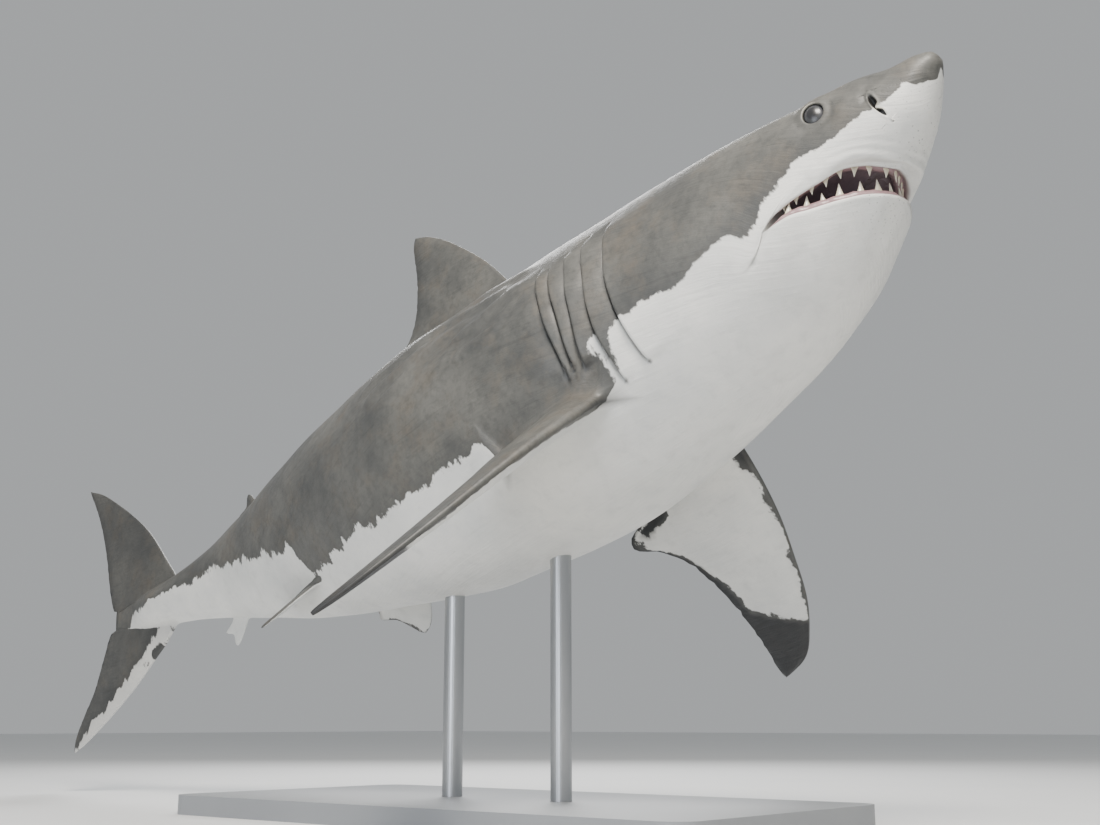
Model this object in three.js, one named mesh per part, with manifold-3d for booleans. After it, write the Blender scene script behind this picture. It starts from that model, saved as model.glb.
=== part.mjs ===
// A great white shark, life size, held on a plain display stand. Millimetres, +Z up.
// The head faces -Y, the shark's own left is +X. The floor is Z = 0.
import * as THREE from "three";
import { mergeVertices } from "three/addons/utils/BufferGeometryUtils.js";
import Module from "manifold-3d";

const wasm = await Module();
wasm.setup();

// ---- Driving sizes ----
// Every body measure below is a share of LENGTH, the design length from the snout.
const LENGTH = 4500;
const GAP = 0.3;
const RING_SEGMENTS = 28;
const FIN_EDGE = 3.0 / LENGTH;

// Pose: the whole body is nose up and leans on the stand, left side down.
const NOSE_UP_DEG = 15;
const LEAN_DEG = 3.7;
const PIVOT_SHARE = 0.4;
const PIVOT_HEIGHT = 1225;

// The swimming bend: heading and pitch of the backbone at even steps along it.
const BEND_STEPS = [0, 0.2, 0.4, 0.6, 0.8, 1.0];
const HEADING_DEG = [-17, -5.5, 0, -6.5, 0.5, 0.5];
const PITCH_DEG = [13.5, 6.5, 0, -1, -3, -9];

// Stations of the trunk: distance from the snout, height above the backbone,
// depth below it, half width, and fullness above and below (2 is an ellipse, more is boxier).
const STATIONS = [
  [0, 0.0005, 0.0004, 0.0004, 2, 2],
  [0.006, 0.0088, 0.0071, 0.0082, 2.1, 2],
  [0.02, 0.019, 0.015, 0.0163, 2.2, 2],
  [0.045, 0.0334, 0.0266, 0.0299, 2.4, 2],
  [0.08, 0.0427, 0.0465, 0.0443, 2.5, 2.1],
  [0.12, 0.057, 0.067, 0.0592, 2.2, 2.2],
  [0.16, 0.0675, 0.079, 0.0712, 2, 2.2],
  [0.21, 0.0755, 0.0895, 0.079, 1.95, 2.2],
  [0.27, 0.0805, 0.1025, 0.085, 1.95, 2.2],
  [0.34, 0.0835, 0.1125, 0.0885, 1.85, 2.1],
  [0.42, 0.0818, 0.1125, 0.0858, 1.85, 2.1],
  [0.52, 0.0712, 0.0975, 0.0725, 1.75, 2],
  [0.61, 0.0588, 0.0785, 0.057, 1.75, 2],
  [0.69, 0.0435, 0.054, 0.041, 1.75, 2],
  [0.75, 0.0315, 0.0365, 0.0305, 1.7, 1.9],
  [0.8, 0.0225, 0.025, 0.0265, 1.6, 1.7],
  [0.83, 0.019, 0.021, 0.0245, 1.55, 1.6],
  [0.86, 0.0175, 0.019, 0.0158, 1.7, 1.7],
  [0.885, 0.013, 0.014, 0.0085, 2, 2],
  [0.914, 0.0118, 0.0118, 0.0069, 2, 2],
];
const HEAD_END = 0.19;
const GILL_END = 0.29;
const TRUNK_END = 0.6;
const BODY_END = 0.914;

// The snout's tip is rounded, raised and set back a little, and the tail's end thins to a blade.
const TIP_ROUND = 0.006;
const TIP_POWER = 0.454;
const TIP_LIFT = 0.0066;
const TIP_BACK = 0.0006;
const TAIL_THIN_FROM = 0.86;
const TAIL_THIN = 0.88;

// Where the lower jaw parts from the head, seen from the side, and how far the mouth is open.
const JAW_LINE = [
  [0.03, -0.042],
  [0.055, -0.0385],
  [0.075, -0.033],
  [0.097, -0.0305],
  [0.12, -0.0357],
  [0.14, -0.052],
  [0.155, -0.075],
  [0.16, -0.115],
];
// Lips from the right corner round the front: distance back, sideways, height.
const UPPER_LIP = [
  [0.122, 0.0545, -0.0338],
  [0.1121, 0.0523, -0.0281],
  [0.0973, 0.0462, -0.0245],
  [0.0818, 0.0382, -0.0231],
  [0.0698, 0.0303, -0.0217],
  [0.0618, 0.0188, -0.0227],
  [0.0566, 0.0075, -0.0257],
  [0.054, 0, -0.0275],
];
const LOWER_LIP = [
  [0.122, 0.0545, -0.0343],
  [0.1055, 0.0489, -0.0337],
  [0.0945, 0.041, -0.0352],
  [0.0809, 0.0312, -0.0375],
  [0.0701, 0.0192, -0.0393],
  [0.0646, 0.0077, -0.0411],
  [0.0636, 0, -0.0411],
];
const MOUTH_CENTRE = [0.115, 0, -0.024];
const MOUTH_DEPTH = 0.45;
const MOUTH_STEPS = 12;
const TEETH_ACROSS = 14;
const TOOTH_INSET = 0.12;
const UPPER_TOOTH = { tall: 0.0085, wide: 0.0062, thick: 0.0022 };
const LOWER_TOOTH = { tall: 0.01, wide: 0.0042, thick: 0.0022 };

const EYE = { back: 0.0664, side: 0.031, height: 0.0162, radius: 0.0082 };
const NOSTRIL = { back: 0.034, side: 0.0235, height: -0.0065, length: 0.011, width: 0.0022 };

// Gill slits: top and bottom of each, front one first, and how deep the cut is.
const GILL_SLITS = [
  { back: 0.2215, top: 0.019, bottom: -0.06 },
  { back: 0.241, top: 0.031, bottom: -0.063 },
  { back: 0.258, top: 0.032, bottom: -0.063 },
  { back: 0.2705, top: 0.028, bottom: -0.064 },
  { back: 0.2795, top: 0.036, bottom: -0.064 },
];
const GILL_BOW = 0.009;
const GILL_CUT_DEPTH = 0.004;
const GILL_CUT_WIDTH = 0.0018;

// Fins: root on the body, how far the fin leans below level, its nose-down set, and its
// front and back edges as (distance back from the root, distance out along the fin).
const PECTORAL_FRONT = [
  [-0.02, -0.03],
  [-0.012, 0.01],
  [0.004, 0.07],
  [0.016, 0.104],
  [0.031, 0.144],
  [0.045, 0.17],
  [0.06, 0.191],
  [0.08, 0.204],
];
const PECTORAL_BACK = [
  [0.06, -0.03],
  [0.078, 0.018],
  [0.1, 0.03],
  [0.104, 0.037],
  [0.088, 0.052],
  [0.077, 0.076],
  [0.0745, 0.11],
  [0.0795, 0.17],
  [0.0865, 0.2],
];
const PELVIC_FRONT = [
  [-0.01, -0.02],
  [0.012, 0.016],
  [0.026, 0.031],
  [0.036, 0.037],
];
const PELVIC_BACK = [
  [0.05, -0.02],
  [0.066, 0.002],
  [0.07, 0.008],
  [0.056, 0.016],
  [0.049, 0.026],
  [0.043, 0.037],
];
const DORSAL_FRONT = [
  [-0.02, -0.02],
  [0.0, 0.012],
  [0.019, 0.04],
  [0.042, 0.065],
  [0.067, 0.087],
  [0.088, 0.1],
];
const DORSAL_BACK = [
  [0.085, -0.02],
  [0.108, 0.002],
  [0.125, 0.007],
  [0.111, 0.019],
  [0.101, 0.038],
  [0.096, 0.07],
  [0.096, 0.099],
];
const SMALL_FIN_FRONT = [
  [-0.006, -0.012],
  [0.0, 0.0],
  [0.009, 0.014],
  [0.017, 0.024],
];
const SMALL_FIN_BACK = [
  [0.018, -0.012],
  [0.026, 0.003],
  [0.034, 0.0085],
  [0.0235, 0.014],
  [0.0215, 0.024],
];
const UPPER_LOBE_FRONT = [
  [0.0, 0.0],
  [0.004, 0.013],
  [0.025, 0.044],
  [0.05, 0.075],
  [0.076, 0.097],
  [0.104, 0.116],
  [0.132, 0.132],
  [0.153, 0.14],
];
const UPPER_LOBE_BACK = [
  [0.06, -0.0005],
  [0.0965, 0.0005],
  [0.1045, 0.012],
  [0.1115, 0.032],
  [0.119, 0.064],
  [0.13, 0.096],
  [0.145, 0.124],
  [0.157, 0.14],
];
const LOWER_LOBE_FRONT = [
  [0.0, 0.0],
  [0.004, 0.014],
  [0.02, 0.033],
  [0.041, 0.048],
  [0.066, 0.066],
  [0.098, 0.085],
  [0.126, 0.1],
  [0.151, 0.1125],
];
const LOWER_LOBE_BACK = [
  [0.06, 0.001],
  [0.0965, 0.001],
  [0.107, 0.01],
  [0.117, 0.032],
  [0.129, 0.06],
  [0.1425, 0.08],
  [0.153, 0.098],
  [0.1575, 0.112],
];
const FINS = {
  dorsal_first: {
    root: [0.365, 0, 0.087], lean: 90, set: 0, thick: 0.0095,
    front: DORSAL_FRONT, back: DORSAL_BACK, steps: 11,
  },
  dorsal_second: {
    root: [0.693, 0, 0.0395], lean: 90, set: 0, thick: 0.0034,
    front: SMALL_FIN_FRONT, back: SMALL_FIN_BACK, steps: 6,
  },
  anal_fin: {
    root: [0.719, 0, -0.04], lean: -90, set: 0, thick: 0.0034,
    front: SMALL_FIN_FRONT, back: SMALL_FIN_BACK, steps: 6,
  },
  pectoral_right: {
    root: [0.272, 0.07, -0.06], lean: -36, set: 6.5, thick: 0.0165,
    front: PECTORAL_FRONT, back: PECTORAL_BACK, steps: 14,
  },
  pectoral_left: {
    root: [0.272, -0.07, -0.06], lean: 214, set: 4, thick: 0.0165,
    front: PECTORAL_FRONT, back: PECTORAL_BACK, steps: 14,
  },
  pelvic_right: {
    root: [0.562, 0.038, -0.067], lean: -37, set: 8, thick: 0.0045,
    front: PELVIC_FRONT, back: PELVIC_BACK, steps: 7,
  },
  pelvic_left: {
    root: [0.535, -0.04, -0.067], lean: 226, set: 4, thick: 0.0045,
    front: PELVIC_FRONT, back: PELVIC_BACK, steps: 7,
  },
  caudal_upper: {
    root: [0.815, 0, 0.0003], lean: 90, set: 0, thick: 0.0075,
    front: UPPER_LOBE_FRONT, back: UPPER_LOBE_BACK, steps: 12,
  },
  caudal_lower: {
    root: [0.815, 0, -0.0003], lean: -90, set: 0, thick: 0.0075,
    front: LOWER_LOBE_FRONT, back: LOWER_LOBE_BACK, steps: 12,
  },
};

// The stand.
const BASE = { long: 2000, wide: 1000, thick: 60, corner: 80 };
const ROD_RADIUS = 32;
const ROD_SEGMENTS = 32;
const ROD_FRONT_SHARE = 0.34;
const ROD_REAR_SHARE = 0.442;

// ---- Curves ----
// A smooth line through points that never overshoots them.
function steadyCurve(xs, ys) {
  const n = xs.length;
  const step = [];
  const slope = [];
  for (let i = 0; i < n - 1; i++) {
    step.push(xs[i + 1] - xs[i]);
    slope.push((ys[i + 1] - ys[i]) / step[i]);
  }
  const d = new Array(n).fill(0);
  for (let i = 1; i < n - 1; i++) {
    if (slope[i - 1] * slope[i] > 0) {
      const a = 2 * step[i] + step[i - 1];
      const b = step[i] + 2 * step[i - 1];
      d[i] = (a + b) / (a / slope[i - 1] + b / slope[i]);
    }
  }
  d[0] = slope[0];
  d[n - 1] = slope[n - 2];
  return (x) => {
    let i = 0;
    while (i < n - 2 && x > xs[i + 1]) {
      i++;
    }
    const t = (x - xs[i]) / step[i];
    const h = step[i];
    return (
      ys[i] * (1 + 2 * t) * (1 - t) ** 2 +
      d[i] * h * t * (1 - t) ** 2 +
      ys[i + 1] * t * t * (3 - 2 * t) +
      d[i + 1] * h * t * t * (t - 1)
    );
  };
}

// The natural cubic spline through evenly spaced points.
function naturalSpline(xs, ys) {
  const n = xs.length;
  const h = xs[1] - xs[0];
  const bend = new Array(n).fill(0);
  const ratio = new Array(n).fill(0);
  const part = new Array(n).fill(0);
  for (let i = 1; i < n - 1; i++) {
    const pull = (6 * (ys[i - 1] - 2 * ys[i] + ys[i + 1])) / (h * h);
    const w = 4 - ratio[i - 1];
    ratio[i] = 1 / w;
    part[i] = (pull - part[i - 1]) / w;
  }
  for (let i = n - 2; i > 0; i--) {
    bend[i] = part[i] - ratio[i] * bend[i + 1];
  }
  return (x) => {
    const c = Math.min(x, xs[n - 1]);
    const i = Math.min(n - 2, Math.max(0, Math.floor((c - xs[0]) / h)));
    const a = (xs[i + 1] - c) / h;
    const b = 1 - a;
    return (
      a * ys[i] + b * ys[i + 1] +
      (((a ** 3 - a) * bend[i] + (b ** 3 - b) * bend[i + 1]) * h * h) / 6
    );
  };
}

// A point a share t of the way along a chain of points, smoothed between them.
function chain(points) {
  const along = [0];
  for (let i = 1; i < points.length; i++) {
    const run = Math.hypot(...points[i].map((v, k) => v - points[i - 1][k]));
    along.push(along[i - 1] + run);
  }
  const total = along[along.length - 1];
  const curves = points[0].map((_, k) => steadyCurve(along, points.map((p) => p[k])));
  return (t) => curves.map((c) => c(t * total));
}

// ---- The bent backbone ----
const RADIANS = Math.PI / 180;
const headingAt = naturalSpline(BEND_STEPS, HEADING_DEG.map((v) => v * RADIANS));
const pitchAt = naturalSpline(BEND_STEPS, PITCH_DEG.map((v) => v * RADIANS));
const SPINE_STEPS = 440;
const SPINE_REACH = 1.1;

function aheadAt(s) {
  const yaw = headingAt(s);
  const rise = pitchAt(s);
  const level = Math.cos(rise);
  return [level * Math.cos(yaw), level * Math.sin(yaw), Math.sin(rise)];
}

const spine = [[0, 0, 0]];
for (let i = 1; i <= SPINE_STEPS; i++) {
  const h = SPINE_REACH / SPINE_STEPS;
  const before = aheadAt((i - 1) * h);
  const after = aheadAt(i * h);
  spine.push(spine[i - 1].map((v, k) => v - ((before[k] + after[k]) / 2) * h));
}
const pivot = spine[Math.round((PIVOT_SHARE / SPINE_REACH) * SPINE_STEPS)];

const lean = new THREE.Matrix4().makeRotationX(-LEAN_DEG * RADIANS);
const rise = new THREE.Matrix4().makeRotationY(-NOSE_UP_DEG * RADIANS);
const turn = new THREE.Matrix4().makeRotationZ(-Math.PI / 2);
const posed = turn.multiply(rise).multiply(lean);

// Body point (distance back, sideways to the shark's right, height), as shares of LENGTH,
// carried along the bent backbone and set in the world.
function place(s, side, height) {
  const at = Math.min(Math.max(s / SPINE_REACH, 0), 1) * SPINE_STEPS;
  const i = Math.min(SPINE_STEPS - 1, Math.floor(at));
  const f = at - i;
  const [fx, fy, fz] = aheadAt(Math.max(s, 0));
  const yaw = headingAt(Math.max(s, 0));
  const up = [-fz * Math.cos(yaw), -fz * Math.sin(yaw), Math.cos(pitchAt(Math.max(s, 0)))];
  const right = [fy * up[2] - fz * up[1], fz * up[0] - fx * up[2], fx * up[1] - fy * up[0]];
  const ahead = Math.min(s, 0);
  const out = [0, 1, 2].map(
    (k) =>
      spine[i][k] * (1 - f) + spine[i + 1][k] * f - pivot[k] -
      ahead * [fx, fy, fz][k] + right[k] * side + up[k] * height,
  );
  const p = new THREE.Vector3(...out).multiplyScalar(LENGTH).applyMatrix4(posed);
  return [p.x, p.y, p.z + PIVOT_HEIGHT];
}

const profile = [1, 2, 3, 4, 5].map((k) =>
  steadyCurve(STATIONS.map((r) => r[0]), STATIONS.map((r) => r[k])),
);

// Rises from 0 to 1 as x does, level at both ends.
function smoothRise(x) {
  const t = Math.min(1, Math.max(0, x));
  return t * t * (3 - 2 * t);
}

// The trunk's sizes at a distance from the snout, rounded at the tip and thinned at the tail.
function ringSizes(s) {
  const [top, bottom, half, fullAbove, fullBelow] = profile.map((c) => c(Math.max(s, TIP_ROUND)));
  const tip = (Math.min(TIP_ROUND, Math.max(s, 0.00001)) / TIP_ROUND) ** TIP_POWER;
  const thin = 1 - TAIL_THIN * smoothRise((s - TAIL_THIN_FROM) / (BODY_END - TAIL_THIN_FROM));
  return [top * tip, bottom * tip, half * tip * thin, fullAbove, fullBelow];
}

// One point of the trunk surface, before the bend. Angle 0 is the back, a quarter turn the right.
function skinPoint(s, angle, swell) {
  const [top, bottom, half, fullAbove, fullBelow] = ringSizes(s);
  const c = Math.cos(angle);
  const d = Math.sin(angle);
  const e = 2 / (c > 0 ? fullAbove : fullBelow);
  const side = (half + swell) * Math.sign(d) * Math.abs(d) ** e;
  const reach = (c > 0 ? top : bottom) + swell;
  const back = s + TIP_BACK * (1 - smoothRise(s / 0.02));
  const lift = TIP_LIFT * (1 - smoothRise(s / 0.03));
  return [back, side, reach * Math.sign(c) * Math.abs(c) ** e + lift];
}

// ---- Solids ----
function solid(points, faces) {
  const geometry = new THREE.BufferGeometry();
  geometry.setAttribute("position", new THREE.Float32BufferAttribute(points.flat(), 3));
  geometry.setIndex(faces.flat());
  return toManifold(geometry);
}

function toManifold(geometry) {
  const plain = geometry.clone();
  plain.deleteAttribute("normal");
  plain.deleteAttribute("uv");
  const merged = mergeVertices(plain, 1e-4);
  const made = new wasm.Manifold(
    new wasm.Mesh({
      numProp: 3,
      vertProperties: new Float32Array(merged.attributes.position.array),
      triVerts: new Uint32Array(merged.index.array),
    }),
  );
  if (made.volume() > 0) {
    return made;
  }
  const turned = merged.index.array.slice();
  for (let i = 0; i < turned.length; i += 3) {
    [turned[i + 1], turned[i + 2]] = [turned[i + 2], turned[i + 1]];
  }
  return new wasm.Manifold(
    new wasm.Mesh({
      numProp: 3,
      vertProperties: new Float32Array(merged.attributes.position.array),
      triVerts: new Uint32Array(turned),
    }),
  );
}

// A closed body through rings of equally many points, in body shares, capped flat at both ends.
function loft(rings) {
  const n = rings[0].length;
  const points = rings.flat();
  const faces = [];
  for (let r = 0; r < rings.length - 1; r++) {
    for (let k = 0; k < n; k++) {
      const a = r * n + k;
      const b = r * n + ((k + 1) % n);
      faces.push([a, b, b + n], [a, b + n, a + n]);
    }
  }
  for (const r of [0, rings.length - 1]) {
    const middle = points.length;
    const ring = rings[r];
    points.push([0, 1, 2].map((j) => ring.reduce((sum, p) => sum + p[j], 0) / n));
    for (let k = 0; k < n; k++) {
      const a = r * n + k;
      const b = r * n + ((k + 1) % n);
      faces.push(r === 0 ? [middle, b, a] : [middle, a, b]);
    }
  }
  return solid(points.map((p) => place(...p)), faces);
}

// The trunk between two distances from the snout, swollen by a few millimetres when it cuts.
function trunkPiece(from, to, steps, swell) {
  const rings = [];
  for (let i = 0; i <= steps; i++) {
    const t = i / steps;
    const s = from + (to - from) * (from === 0 ? t ** 1.5 : t);
    const ring = [];
    for (let k = 0; k < RING_SEGMENTS; k++) {
      ring.push(skinPoint(s, (2 * Math.PI * k) / RING_SEGMENTS, swell));
    }
    rings.push(ring);
  }
  return loft(rings);
}

// A fin: blade sections from the front edge to the back edge, thickest a third of the way back.
// The last of the tip is rounded, and a paired fin's front edge droops at its root.
const BLADE = [0, 0.06, 0.2, 0.4, 0.7, 1];
const BLADE_HALF = [0.25, 0.68, 0.95, 0.98, 0.58, 0];
const TIP_FROM = 0.93;
const DROOP = 0.55;

function fin({ root, lean: leanDeg, set, thick, front, back, steps }) {
  const out = [0, Math.cos(leanDeg * RADIANS), Math.sin(leanDeg * RADIANS)];
  const aft = [Math.cos(set * RADIANS), 0, -Math.sin(set * RADIANS)];
  const flat = [
    aft[1] * out[2] - aft[2] * out[1],
    aft[2] * out[0] - aft[0] * out[2],
    aft[0] * out[1] - aft[1] * out[0],
  ];
  const frontAt = chain(front);
  const backAt = chain(back);
  const rings = [];
  for (let i = 0; i <= steps; i++) {
    const t = 1 - (1 - i / steps) ** 1.25;
    const past = Math.max(0, (t - TIP_FROM) / (1 - TIP_FROM));
    const narrow = Math.sqrt(1 - 0.985 * past ** 2);
    const middle = frontAt(t).map((v, k) => (v + backAt(t)[k]) / 2);
    const f = frontAt(t).map((v, k) => middle[k] + (v - middle[k]) * narrow);
    const b = backAt(t).map((v, k) => middle[k] + (v - middle[k]) * narrow);
    const fat = ((thick * (1 - 0.85 * t ** 1.2) + FIN_EDGE) / 2) * (0.4 + 0.6 * narrow);
    const drop = Math.abs(leanDeg) === 90 ? 0 : DROOP * thick * Math.max(0, 1 - t / 0.55) ** 2;
    const upper = [];
    const lower = [];
    BLADE.forEach((c, k) => {
      const away = f[0] + (b[0] - f[0]) * c;
      const reach = f[1] + (b[1] - f[1]) * c;
      const half = FIN_EDGE / 2 + BLADE_HALF[k] * fat;
      const low = drop * Math.max(0, 1 - c / 0.5) ** 2 * Math.sign(flat[2]);
      const at = [0, 1, 2].map((j) => root[j] + away * aft[j] + reach * out[j] - low * flat[j]);
      upper.push(at.map((v, j) => v + half * flat[j]));
      lower.unshift(at.map((v, j) => v - half * flat[j]));
    });
    rings.push([...upper, ...lower]);
  }
  return loft(rings);
}

function largest(manifold) {
  return manifold.decompose().sort((a, b) => b.volume() - a.volume())[0];
}

function ball(centre, radius) {
  const g = new THREE.SphereGeometry(radius, 12, 10);
  g.rotateX(Math.PI / 2);
  g.translate(...centre);
  return toManifold(g);
}

function box(corners) {
  return solid(corners.map((p) => place(...p)), [
    [0, 2, 1], [0, 3, 2], [4, 5, 6], [4, 6, 7], [0, 1, 5], [0, 5, 4],
    [1, 2, 6], [1, 6, 5], [2, 3, 7], [2, 7, 6], [3, 0, 4], [3, 4, 7],
  ]);
}

// ---- Mouth ----
// Everything under the jaw line, right across the head.
function underJaw(lift) {
  const lineAt = chain(JAW_LINE);
  const rings = [];
  for (let i = 0; i <= 14; i++) {
    const [s, z] = lineAt(i / 14);
    rings.push([
      [s + lift, -0.1, z + lift],
      [s + lift, -0.05, z + lift],
      [s + lift, 0, z + lift],
      [s + lift, 0.05, z + lift],
      [s + lift, 0.1, z + lift],
      [s + lift, 0.1, -0.16],
      [s + lift, 0, -0.16],
      [s + lift, -0.1, -0.16],
    ]);
  }
  return loft(rings);
}

const upperLipAt = chain(UPPER_LIP);
const lowerLipAt = chain(LOWER_LIP);

// A lip point, t from 0 at the right corner to 1 at the left, moved in towards the mouth's middle.
function lipPoint(lipAt, t, inward) {
  const right = t <= 0.5;
  const p = lipAt(right ? 2 * t : 2 - 2 * t);
  const q = right ? p : [p[0], -p[1], p[2]];
  return q.map((v, k) => v + (MOUTH_CENTRE[k] - v) * inward);
}

function mouthHollow() {
  const rings = [];
  for (let i = 0; i <= 2 * MOUTH_STEPS; i++) {
    const t = 0.02 + (0.96 * i) / (2 * MOUTH_STEPS);
    rings.push([
      lipPoint(upperLipAt, t, -0.35),
      lipPoint(upperLipAt, t, 0),
      lipPoint(upperLipAt, t, MOUTH_DEPTH),
      lipPoint(lowerLipAt, t, MOUTH_DEPTH),
      lipPoint(lowerLipAt, t, 0),
      lipPoint(lowerLipAt, t, -0.35),
    ]);
  }
  return loft(rings);
}

// A row of pointed teeth set just inside a lip, each rooted in the jaw that carries it.
function teeth(lipAt, size, upright) {
  const made = [];
  for (let i = 0; i < TEETH_ACROSS; i++) {
    const t = 0.1 + (0.8 * (i + 0.5)) / TEETH_ACROSS;
    const before = lipPoint(lipAt, t - 0.01, TOOTH_INSET);
    const after = lipPoint(lipAt, t + 0.01, TOOTH_INSET);
    const at = lipPoint(lipAt, t, TOOTH_INSET);
    const run = after.map((v, k) => v - before[k]);
    const far = Math.hypot(run[0], run[1]);
    const along = [run[0] / far, run[1] / far, 0];
    const across = [-along[1], along[0], 0];
    const small = 1 - 0.45 * Math.abs(2 * t - 1);
    const tall = size.tall * small;
    const w = (size.wide * small) / 2;
    const d = size.thick / 2;
    const root = -0.002 * upright;
    const corner = (a, b, h) => [
      at[0] + along[0] * a + across[0] * b,
      at[1] + along[1] * a + across[1] * b,
      at[2] + h,
    ];
    const base = [corner(-w, 0, root), corner(0, -d, root), corner(w, 0, root), corner(0, d, root)];
    const gum = [corner(-w, 0, 0), corner(0, -d, 0), corner(w, 0, 0), corner(0, d, 0)];
    const tip = corner(0, 0, tall * upright);
    made.push(
      solid([...base, ...gum, tip].map((p) => place(...p)), [
        [0, 2, 1], [0, 3, 2], [0, 1, 5], [0, 5, 4], [1, 2, 6], [1, 6, 5], [2, 3, 7], [2, 7, 6],
        [3, 0, 4], [3, 4, 7], [4, 5, 8], [5, 6, 8], [6, 7, 8], [7, 4, 8],
      ]),
    );
  }
  return made;
}

// ---- Gills and nostrils ----
function gillCut(slit, side) {
  const rings = [];
  const steps = 4;
  for (let i = 0; i <= steps; i++) {
    const t = i / steps;
    const height = slit.top + (slit.bottom - slit.top) * t;
    const s = slit.back - GILL_BOW * Math.sin(Math.PI * t);
    const [top, bottom, half, fullAbove, fullBelow] = ringSizes(s);
    const share = Math.min(0.999, Math.abs(height) / (height > 0 ? top : bottom));
    const n = height > 0 ? fullAbove : fullBelow;
    const out = half * (1 - share ** n) ** (1 / n);
    const w = GILL_CUT_WIDTH * (0.35 + Math.sin(Math.PI * t));
    rings.push([
      [s - w, side * (out + 0.01), height],
      [s + w, side * (out + 0.01), height],
      [s + w * 0.6, side * (out - GILL_CUT_DEPTH), height],
      [s - w * 0.6, side * (out - GILL_CUT_DEPTH), height],
    ]);
  }
  return loft(rings);
}

function nostrilCut(side) {
  const { back, side: out, height, length, width } = NOSTRIL;
  const corners = [];
  for (const dz of [-1, 1]) {
    corners.push(
      [back - width, side * (out - 0.006), height + (dz * length) / 2],
      [back + width, side * (out - 0.006), height + (dz * length) / 2],
      [back + width, side * (out + 0.01), height + (dz * length) / 2],
      [back - width, side * (out + 0.01), height + (dz * length) / 2],
    );
  }
  return box(corners);
}

// ---- Colours ----
const BACK_GREY = { color: 0x6b675f, roughness: 0.62, metalness: 0 };
const BELLY_WHITE = { color: 0xd9d7cf, roughness: 0.62, metalness: 0 };
const EYE_BLACK = { color: 0x14151a, roughness: 0.12, metalness: 0 };
const STAND_PAINT = { color: 0x8e9093, roughness: 0.55, metalness: 0 };

const group = new THREE.Group();
group.name = "great_white_shark";

// Turns a finished solid into a named mesh of the group.
function addNode(name, manifold, look) {
  const m = manifold.getMesh();
  const geometry = new THREE.BufferGeometry();
  const stride = m.numProp;
  const xyz = new Float32Array(m.numVert * 3);
  for (let i = 0; i < m.numVert; i++) {
    xyz.set(m.vertProperties.subarray(i * stride, i * stride + 3), i * 3);
  }
  geometry.setAttribute("position", new THREE.BufferAttribute(xyz, 3));
  geometry.setIndex(new THREE.BufferAttribute(new Uint32Array(m.triVerts), 1));
  const faceted = geometry.toNonIndexed();
  faceted.computeVertexNormals();
  const mesh = new THREE.Mesh(faceted, new THREE.MeshStandardMaterial(look));
  mesh.name = name;
  group.add(mesh);
}

// ---- Body ----
const halfGap = GAP / LENGTH / 2;
const HEAD_LENGTH = [0, HEAD_END - halfGap, 16];
const GILL_LENGTH = [HEAD_END + halfGap, GILL_END - halfGap, 4];
const TRUNK_LENGTH = [GILL_END + halfGap, TRUNK_END - halfGap, 10];
const TAIL_LENGTH = [TRUNK_END + halfGap, BODY_END, 13];
const wholeHead = trunkPiece(...HEAD_LENGTH, 0);
const hollow = mouthHollow();
const eyeSpots = [1, -1].map((side) => place(EYE.back, side * EYE.side, EYE.height));
let head = wholeHead.subtract(underJaw(GAP / LENGTH)).subtract(hollow);
for (const spot of eyeSpots) {
  head = head.subtract(ball(spot, EYE.radius * LENGTH + GAP));
}
head = head.subtract(nostrilCut(1)).subtract(nostrilCut(-1));
head = largest(head);
for (const tooth of teeth(upperLipAt, UPPER_TOOTH, -1)) {
  head = head.add(tooth);
}
addNode("head", largest(head), BACK_GREY);

let jaw = largest(wholeHead.intersect(underJaw(0)).subtract(hollow));
for (const tooth of teeth(lowerLipAt, LOWER_TOOTH, 1)) {
  jaw = jaw.add(tooth);
}
addNode("lower_jaw", largest(jaw), BELLY_WHITE);

let gills = trunkPiece(...GILL_LENGTH, 0);
for (const slit of GILL_SLITS) {
  gills = gills.subtract(gillCut(slit, 1)).subtract(gillCut(slit, -1));
}
addNode("gill_region", largest(gills), BACK_GREY);
addNode("trunk", trunkPiece(...TRUNK_LENGTH, 0), BACK_GREY);
addNode("tail_stem", trunkPiece(...TAIL_LENGTH, 0), BACK_GREY);

["eye_right", "eye_left"].forEach((name, i) => {
  addNode(name, ball(eyeSpots[i], EYE.radius * LENGTH), EYE_BLACK);
});

// ---- Fins ----
// They are cut back from the trunk by the gap: from its lengths, and from the joints between.
const swollen = GAP / LENGTH;
const cutBody = [
  trunkPiece(...GILL_LENGTH, swollen),
  trunkPiece(GILL_END - 2 * GAP / LENGTH, GILL_END + 2 * GAP / LENGTH, 1, swollen),
  trunkPiece(...TRUNK_LENGTH, swollen),
  trunkPiece(TRUNK_END - 2 * GAP / LENGTH, TRUNK_END + 2 * GAP / LENGTH, 1, swollen),
  trunkPiece(...TAIL_LENGTH, swollen),
  trunkPiece(BODY_END - GAP / LENGTH, BODY_END + GAP / LENGTH, 1, swollen),
].reduce((a, b) => a.add(b));
for (const [name, shape] of Object.entries(FINS)) {
  addNode(name, largest(fin(shape).subtract(cutBody)), BACK_GREY);
}

// ---- Stand ----
const rodSpots = [ROD_FRONT_SHARE, ROD_REAR_SHARE].map((s) => place(s, 0, 0));
const baseX = Math.round((rodSpots[0][0] + rodSpots[1][0]) / 2);
const baseY = Math.round((rodSpots[0][1] + rodSpots[1][1]) / 2);

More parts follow.
